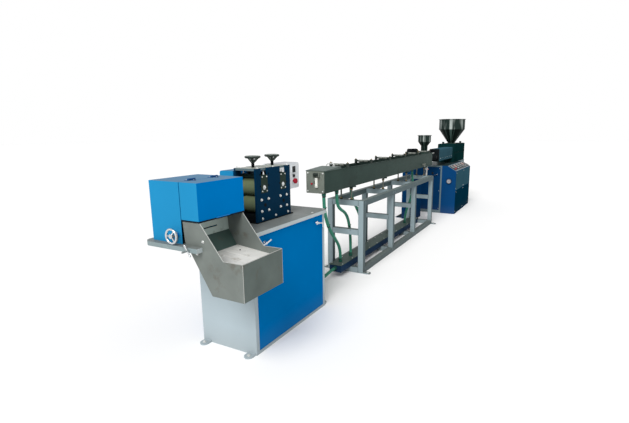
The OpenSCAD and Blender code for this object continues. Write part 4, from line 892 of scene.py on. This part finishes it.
handle_z = lid_high.z + np.array([-0.002, 0.016, 0.026, 0.026, 0.016, -0.002])
handle = np.stack([np.full(6, lid_high.x - 0.035), handle_y, handle_z], -1)
piece("tank_lid_handle", [(carried(handle, 0.005, 12, ALONG), zinc)])
guide_bits = []
guide_low, guide_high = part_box("tank_guides")
GUIDES = 6
for x in np.linspace(guide_low.x + 0.020, guide_high.x - 0.020, GUIDES):
    guide_bits += spread(
        hex_bolt, (x,), (-TANK_RIM_Y, TANK_RIM_Y), (guide_high.z,), UP, 0.012, 0.009, aged_brass)
    roll = turned([(-0.06, 0), (-0.06, 0.015), (-0.012, 0.015), (0, 0.011), (0.012, 0.015), (0.06, 0.015),
                   (0.06, 0)],
                  (x, 0.0, tank_high.z + 0.026), FAR, 24)
    guide_bits.append((roll, worn_steel))
piece("guide_rollers", guide_bits)
LEVEL_Y = 0.066
saddle_low = tank_low.z - 0.014
level_nuts = []
for x in portal_x + TUBE / 2:
    for y in (-LEVEL_Y, LEVEL_Y):
        level_nuts += spread(
            hex_bolt, (x,), (y,), (posts_high.z + 0.010, saddle_low - 0.034), UP, 0.030, 0.014, aged_brass,
            washer=False)
        ridge = [(0.0, 0.0)]
        for turn in range(26):
            ridge += [(0.004 * turn, 0.0090), (0.004 * turn + 0.002, 0.0102)]
        ridge.append((0.105, 0.0))
        level_nuts.append((turned(ridge, (x, y, posts_high.z + 0.012), UP, 16), worn_steel))
piece("levelling_nuts", level_nuts)
drain_x = tank_high.x - 0.150
DRAIN_Y = -0.050
pipe_end = tank_low.z - 0.230
drain = [
    (turned([(0, 0), (0, 0.013), (0.232, 0.013), (0.232, 0)], (drain_x, DRAIN_Y, pipe_end), UP,
            24), nylon),
    (turned([(0, 0.0), (0, 0.018), (0.006, 0.022), (0.036, 0.022), (0.042, 0.018), (0.042, 0.0)],
            (drain_x, DRAIN_Y, tank_low.z - 0.090), UP, 28), zinc),
    (slab((drain_x - 0.060, DRAIN_Y - 0.034, tank_low.z - 0.074),
          (drain_x + 0.008, DRAIN_Y - 0.028, tank_low.z - 0.060), 0.003, 0.001, axis=1), stop_red),
    (turned([(0, 0), (0, 0.006), (0.036, 0.006), (0.036, 0)], (drain_x, DRAIN_Y, tank_low.z - 0.067),
            NEAR, 16), zinc),
]
tap_x = tank_high.x - 0.605
drain += [
    (turned([(0, 0), (0, 0.016), (0.012, 0.016), (0.016, 0.012), (0.040, 0.012), (0.040, 0)],
            (tap_x, -0.105, tank_low.z + 0.044), NEAR, 24), worn_steel),
    (turned([(-0.040, 0), (-0.040, 0.010), (0.014, 0.010), (0.018, 0.015), (0.026, 0.015), (0.026, 0)],
            (tap_x, -0.140, tank_low.z + 0.044), UP, 24), worn_steel),
]
piece("tank_drain_valves", drain)

# Return trough. A closed navy channel on the frame's lowest bars, under a grey-green lid held by a row
# of screws, with dark spigots for the hoses.
trough_navy = worked_finish(
    "trough_navy_enamel", (14, 48, 78), rough=0.45, cloud=0.12, soil=0.2, shine=0.03)
lid_green = worked_finish(
    "trough_lid_green", (68, 82, 77), rough=0.5, cloud=0.12, cloud_scale=5, stain=(48, 60, 56),
    stain_scale=6, stain_from=0.58)
dress(trough_navy, "return_trough")
dress(lid_green, "trough_lid")
socket_green = worked_finish("hose_socket_green", (34, 82, 70), rough=0.5, cloud=0.12, cloud_scale=20)
dress(socket_green, "hose_fittings")
lid_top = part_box("trough_lid")[1].z
lid_screws = spread(
    cap_screw, np.linspace(trough_low.x + 0.05, trough_high.x - 0.05, 12), (-0.068, 0.068), (lid_top,), UP,
    0.006, 0.004, zinc)
piece("trough_lid_screws", lid_screws)

# Extruder. A grey base and a blue control cabinet with a sloped console of instruments, the gearbox in
# dark green and the barrel under a blue-grey cover, with the black die head towards the tank.
# Painted shade: the tops of the grey base and of the blue cabinets take a dark grey-green.
base_grey = worked_finish(
    "extruder_base_grey", (96, 114, 121), rough=0.45, cloud=0.06, soil=0.3, top=(32, 45, 45))
extruder_blue = worked_finish(
    "extruder_blue_enamel", (9, 50, 88), rough=0.45, cloud=0.07, soil=0.2, shine=0.0, top=(38, 53, 55))
cabinet_blue = worked_finish(
    "console_cabinet_blue", (13, 61, 107), rough=0.45, cloud=0.07, soil=0.2, shine=0.0, top=(38, 53, 55))
side_teal = worked_finish("console_side_teal", (48, 82, 95), rough=0.45, shine=0.0)
side_navy = worked_finish("console_side_navy", (3, 43, 61), rough=0.5, soil=0.1, shine=0.0)
gear_green = worked_finish(
    "gearbox_green", (12, 43, 44), rough=0.5, cloud=0.14, cloud_scale=6, bump=0.08, shine=0.0)
cover_grey = worked_finish("barrel_cover_grey", (52, 85, 97), rough=0.45, shine=0.0)
gauge_black = worked_finish("gauge_black", (34, 38, 42), cloud=0.1)
console_pale = worked_finish("console_pale_plate", (128, 138, 140), cloud=0.06, cloud_scale=8)
dial_grey = worked_finish("dial_grey", (150, 150, 155), rough=0.5, cloud=0.05, cloud_scale=30)
meter_pink = worked_finish("meter_pink_face", (158, 128, 122), rough=0.35, cloud=0.06, cloud_scale=20)
dress(base_grey, "extruder_base")
dress(cabinet_blue, "control_cabinet")
dress(gauge_black, "pressure_gauge")
dress(gear_green, "gearbox")
dress(cover_grey, "barrel_cover")
dress(black_iron, "die_head")
base_low, base_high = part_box("extruder_base")
con_low, con_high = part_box("control_cabinet")
PANEL_T = 0.004
PANEL_BAND = 0.470
CON_DROP = 0.103
CON_SLOPE = 0.174
side_top = con_high.z - CON_DROP - 0.006
side_middle = middle_of("control_cabinet")[0]
end_panel_low = (base_low.x - PANEL_T, base_low.y + 0.030, 0.060)
end_panel_high = (base_low.x, base_high.y - 0.030, base_high.z - 0.030)
panels = [(slab(end_panel_low, end_panel_high, 0.006, 0.0015, axis=0), extruder_blue)]
for start, end in ((con_low.x + 0.012, side_middle - 0.003), (side_middle + 0.003, con_high.x - 0.012)):
    outer_y = con_low.y - PANEL_T
    upper = slab((start, outer_y, PANEL_BAND + 0.004), (end, con_low.y, side_top), 0.006, 0.0015, axis=1)
    lower = slab((start, outer_y, 0.012), (end, con_low.y, PANEL_BAND - 0.004), 0.006, 0.0015, axis=1)
    panels += [(upper, side_teal), (lower, side_navy)]
piece("extruder_panel_set", panels, stands_for=("extruder_panels",))
side_x = (con_low.x + 0.04, side_middle - 0.03, side_middle + 0.03, con_high.x - 0.04)
side_z = (0.05, PANEL_BAND - 0.03, PANEL_BAND + 0.03, side_top - 0.03)
panel_screws = spread(cap_screw, side_x, (con_low.y - PANEL_T,), side_z, NEAR, 0.006, 0.003, zinc)
panel_screws += spread(
    cap_screw, (base_low.x - PANEL_T,), (base_low.y + 0.045, base_high.y - 0.045),
    (0.09, 0.45, base_high.z - 0.06), AGAINST, 0.006, 0.003, zinc)
piece("extruder_panel_screws", panel_screws)
DOORS = 3
LOUVRES = 9
LOUVRE_HALF = 0.110
LOUVRE_SHAPE = (0.006, 0.0055, 0.0025)
back_faces = (base_high.y + PANEL_T - 0.001, base_high.y + PANEL_T + 0.004)
end_faces = (base_high.x + PANEL_T - 0.001, base_high.x + PANEL_T + 0.004)
door_edges = np.linspace(base_low.x + 0.040, base_high.x - 0.040, DOORS + 1)
service_doors = []
for start, end in zip(door_edges[:-1] + 0.012, door_edges[1:] - 0.012):
    door_low = (start, base_high.y, 0.080)
    door_high = (end, base_high.y + PANEL_T, base_high.z - 0.050)
    service_doors.append((slab(door_low, door_high, 0.010, 0.0015, axis=1), extruder_blue))
    middle = (start + end) / 2
    service_doors += louvres(
        (middle - LOUVRE_HALF, middle + LOUVRE_HALF), np.linspace(0.180, 0.380, LOUVRES), back_faces,
        *LOUVRE_SHAPE, 1, extruder_blue)
    for x in (start + 0.040, end - 0.040):
        catch = [(0, 0), (0, 0.014), (0.004, 0.014), (0.005, 0.009), (0.007, 0.009), (0.007, 0)]
        catch_at = (x, base_high.y + PANEL_T, base_high.z - 0.100)
        service_doors.append((turned(catch, catch_at, FAR, 24), zinc))
end_low = (base_high.x, base_low.y + 0.040, 0.080)
end_high = (base_high.x + PANEL_T, base_high.y - 0.040, base_high.z - 0.050)
service_doors.append((slab(end_low, end_high, 0.010, 0.0015, axis=0), extruder_blue))
end_middle = middle_of("extruder_base")[1]
service_doors += louvres(
    (end_middle - LOUVRE_HALF, end_middle + LOUVRE_HALF), np.linspace(0.200, 0.440, LOUVRES), end_faces,
    *LOUVRE_SHAPE, 0, extruder_blue)
piece("extruder_service_doors", service_doors)
slope_foot = (0.0, con_low.y, con_high.z - CON_DROP)
slope_angle = math.atan2(CON_DROP, CON_SLOPE)
slope_length = math.hypot(CON_DROP, CON_SLOPE)
face_plate = slab((con_low.x + 0.010, 0.006, 0.0), (con_high.x - 0.010, slope_length - 0.006, 0.003),
                  0.006, 0.001)
console = [(laid(face_plate, slope_foot, slope_angle), console_pale)]
INSTRUMENTS = 6
for number, x in enumerate(np.linspace(con_low.x + 0.130, con_high.x - 0.130, INSTRUMENTS)):
    frame_grid = slab((x - 0.085, 0.024, 0.003), (x + 0.085, slope_length - 0.030, 0.012), 0.006, 0.002)
    console.append((laid(frame_grid, slope_foot, slope_angle), gauge_black))
    window = slab((x - 0.070, 0.090, 0.012), (x + 0.070, slope_length - 0.040, 0.0135), 0.003, 0.0005)
    window_face = meter_pink if number in (1, 4) else screen_black
    console.append((laid(window, slope_foot, slope_angle), window_face))
    for knob_x in (x - 0.045, x, x + 0.045):
        knob = turned([(0, 0), (0, 0.011), (0.010, 0.010), (0.013, 0.008), (0.013, 0)],
                      (knob_x, 0.055, 0.012), UP, 20)
        console.append((laid(knob, slope_foot, slope_angle), stop_red if number == 0 else dark_chrome))
piece("console_instruments", console)
gauge_at = np.array([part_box("pressure_gauge")[0].x + 0.004, *middle_of("pressure_gauge")[1:]])
dial = [(turned([(0, 0), (0, 0.0415), (0.0006, 0.0415), (0.0006, 0)], gauge_at, AGAINST, 48),
         dial_grey),
        (turned([(0, 0), (0, 0.005), (0.003, 0.004), (0.003, 0)], gauge_at, AGAINST, 20), gauge_black)]
SWEEP = np.radians(np.linspace(-45, 225, 19))
for number, angle in enumerate(SWEEP):
    spoke = np.array([0.0, math.cos(angle), math.sin(angle)])
    inner = 0.030 if number % 3 == 0 else 0.034
    tick = gauge_at + np.array([-0.0008, 0, 0]) + spoke * np.linspace(inner, 0.039, 4)[:, None]
    dial.append((carried(tick, 0.0008, 8, ALONG), gauge_black))
pointer = np.array([0.0, math.cos(math.radians(120)), math.sin(math.radians(120))])
needle = gauge_at + np.array([-0.0018, 0, 0]) + pointer * np.linspace(-0.010, 0.031, 6)[:, None]
dial.append((carried(needle, np.linspace(0.0016, 0.0006, 6), 8, ALONG), stop_red))
piece("gauge_dial", dial)
knob_at = (base_low.x - PANEL_T, 0.046, base_high.z - 0.151)
end_knob = [(0, 0), (0, 0.014), (0.010, 0.012), (0.016, 0.020), (0.030, 0.022), (0.036, 0.016), (0.036, 0)]
piece("end_panel_knob", [(turned(end_knob, knob_at, AGAINST, 28), gauge_black)])
gear_low, gear_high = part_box("gearbox")
GEAR_FRONT = -0.126
GEAR_BACK = 0.228
gear_x = np.linspace(gear_low.x + 0.06, gear_high.x - 0.08, 8)
gear_bolts = spread(
    hex_bolt, gear_x, (GEAR_BACK + 0.008,), (gear_low.z + 0.022,), UP, 0.013, 0.007, black_iron)
gear_bolts += spread(hex_bolt, gear_x, (GEAR_FRONT,), (gear_low.z + 0.20,), NEAR, 0.013, 0.006, black_iron)
joint_z = gear_low.z + 0.225
joint_low = (gear_low.x - 0.004, GEAR_FRONT - 0.005, joint_z)
joint_high = (gear_high.x - 0.018, GEAR_BACK + 0.005, joint_z + 0.014)
gear_bolts.append((slab(joint_low, joint_high, 0.012, 0.002), gear_green))
for turn in np.radians(np.arange(0, 360, 60)):
    cap_place = (gear_high.x - 0.004, 0.075 * math.cos(turn), LINE_Z + 0.075 * math.sin(turn))
    gear_bolts += hex_bolt(cap_place, ALONG, 0.014, 0.004, zinc, washer=False)
piece("gearbox_bolts", gear_bolts)
cover_box_low, cover_box_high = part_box("barrel_cover")
cover_bits = []
for x in np.linspace(cover_box_low.x + 0.10, cover_box_high.x - 0.10, 6):
    for y, outward in ((cover_box_low.y, -1), (cover_box_high.y, 1)):
        cover_bits += cap_screw((x, y, LINE_Z - 0.030), (0, outward, 0), 0.006, 0.004, zinc)
        cover_bits += louvres(
            (x - 0.045, x + 0.045), np.linspace(LINE_Z + 0.045, LINE_Z + 0.105, 4),
            sorted((y, y + outward * 0.003)), 0.004, 0.0036, 0.001, 1, cover_grey)
piece("barrel_cover_vents", cover_bits)
die_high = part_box("die_head")[1]
die_bits = []
for turn in np.radians(np.arange(30, 390, 60)):
    place = (die_high.x - 0.040, 0.066 * math.cos(turn), LINE_Z + 0.066 * math.sin(turn))
    die_bits += hex_bolt(place, AGAINST, 0.010, 0.006, zinc, washer=False)
for start in (0.060, 0.100, 0.140):
    clasp_low = (die_high.x - start - 0.016, -0.010, LINE_Z + 0.070)
    clasp_high = (die_high.x - start + 0.008, 0.010, LINE_Z + 0.086)
    die_bits.append((slab(clasp_low, clasp_high, 0.003, 0.001), zinc))
piece("die_bolts", die_bits)


# Hoppers and co-extruder. Spun stainless hoppers with painted reflections in bands up their walls and painted
# shade under the seam, rolled rims and slide gates, and a small second extruder on a blue cabinet that feeds
# the colour into the die.
def painted_reflection_steel(name, centre, seam_z, dark, bright):
    """Polished steel with painted reflections: bright and dark bands run up the wall, where a noise over the
    direction round the hopper's axis, drawn out along its height, moves the colour from dark to bright, and
    the cone and neck under the seam are darkened as painted shade."""
    material = worked_finish(
        name, dark, metal=0.1, rough=0.34, grain=(1, 1, 0.2), grain_scale=60, bump=0.02, shine=0.02)
    tree = material.node_tree
    place = shading(tree, "TexCoord", out="Object")
    from_axis = shading(tree, "VectorMath", {0: place, 1: (*centre, 0.0)}, operation="SUBTRACT")
    x, y, z = (shading(tree, "SeparateXYZ", {"Vector": from_axis}, axis) for axis in "XYZ")
    bearing = shading(tree, "Math", {0: y, 1: x}, operation="ARCTAN2")
    height = shading(tree, "Math", {0: z, 1: 0.35}, operation="MULTIPLY")
    spot = shading(tree, "CombineXYZ", {"X": bearing, "Y": height})
    # Painted reflection: bright and dark bands round the hopper's axis.
    reflection_bands = shading(tree, "TexNoise", {"Vector": spot, "Scale": 2.3, "Detail": 4.0})
    level = shading(tree, "MapRange", {"Value": reflection_bands, "From Min": 0.50, "From Max": 0.66})
    mixed = blend(tree, level, (*chip(*dark), 1.0), (*chip(*bright), 1.0))
    # Painted shade: the cone and neck under the seam are darkened.
    painted_shade_below_seam = shading(tree, "MapRange", {"Value": z, "From Min": seam_z + 0.004, "From Max": seam_z - 0.012})
    shaded_below_seam = blend(tree, painted_shade_below_seam, mixed, (0.16, 0.24, 0.22, 1.0), blend_type="MULTIPLY")
    feed(tree, tree.nodes["Principled BSDF"], {"Base Color": shaded_below_seam})
    return material


dress(extruder_blue, "coex_stand")
dress(black_iron, "coex_drive")
HOPPER_SHAPES = {
    "main_hopper": {"wall": 0.275, "mouth": 0.080, "neck": 0.030, "cone": 0.285},
    "coex_hopper": {"wall": 0.118, "mouth": 0.062, "neck": 0.130, "cone": 0.080},
}
for hopper_name, shape in HOPPER_SHAPES.items():
    low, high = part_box(hopper_name)
    wall_r = shape["wall"]
    mouth_r = shape["mouth"]
    seam = shape["neck"] + shape["cone"]
    axis_x, axis_y, _ = middle_of(hopper_name)
    steel = painted_reflection_steel(
        hopper_name + "_painted_reflection_steel", (axis_x, axis_y), low.z + seam, (34, 46, 43), (168, 176, 172))
    dress(steel, hopper_name)
    roll_turn = np.linspace(0, 2 * np.pi, 13)
    roll_profile = np.stack([high.z - low.z - 0.003 + 0.006 * np.sin(roll_turn),
                             wall_r + 0.007 + 0.006 * np.cos(roll_turn)], -1)
    foot = (axis_x, axis_y, low.z)
    gate_low = (axis_x - mouth_r - 0.030, axis_y - mouth_r - 0.012, low.z)
    gate_high = (axis_x + mouth_r + 0.012, axis_y + mouth_r + 0.012, low.z + 0.010)
    hopper_parts = [
        (turned(roll_profile, foot, UP, 72), steel),
        (turned([(seam - 0.005, wall_r - 0.006), (seam - 0.002, wall_r + 0.003),
                 (seam + 0.006, wall_r + 0.003), (seam + 0.008, wall_r - 0.001)],
                foot, UP, 72), steel),
        (slab(gate_low, gate_high, 0.008, 0.002), tank_steel),
    ]
    bolt_out = mouth_r + 0.001
    hopper_parts += spread(
        hex_bolt, (axis_x - bolt_out, axis_x + bolt_out), (axis_y - bolt_out, axis_y + bolt_out),
        (low.z + 0.010,), UP, 0.011, 0.006, worn_steel)
    piece(hopper_name + "_rim_and_gate", hopper_parts)
stand_low, stand_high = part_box("coex_stand")
STAND_X0 = stand_low.x
STAND_Y0 = stand_low.y + 0.008
door_low = (STAND_X0 - 0.003, STAND_Y0 + 0.020, 0.060)
door_high = (STAND_X0, STAND_Y0 + 0.230, stand_high.z - 0.040)
stand_parts = [(slab(door_low, door_high, 0.006, 0.0015, axis=0), extruder_blue),
               (turned([(0, 0), (0, 0.012), (0.008, 0.012), (0.012, 0.008), (0.012, 0)],
                       (STAND_X0 - 0.003, STAND_Y0 + 0.050, 0.600), AGAINST, 24), bright_chrome)]
stand_parts += louvres(
    (STAND_Y0 + 0.070, STAND_Y0 + 0.180), np.linspace(0.20, 0.32, 6), (STAND_X0 - 0.007, STAND_X0 - 0.002),
    0.005, 0.0045, 0.002, 0, extruder_blue)
piece("coex_cabinet_door", stand_parts)
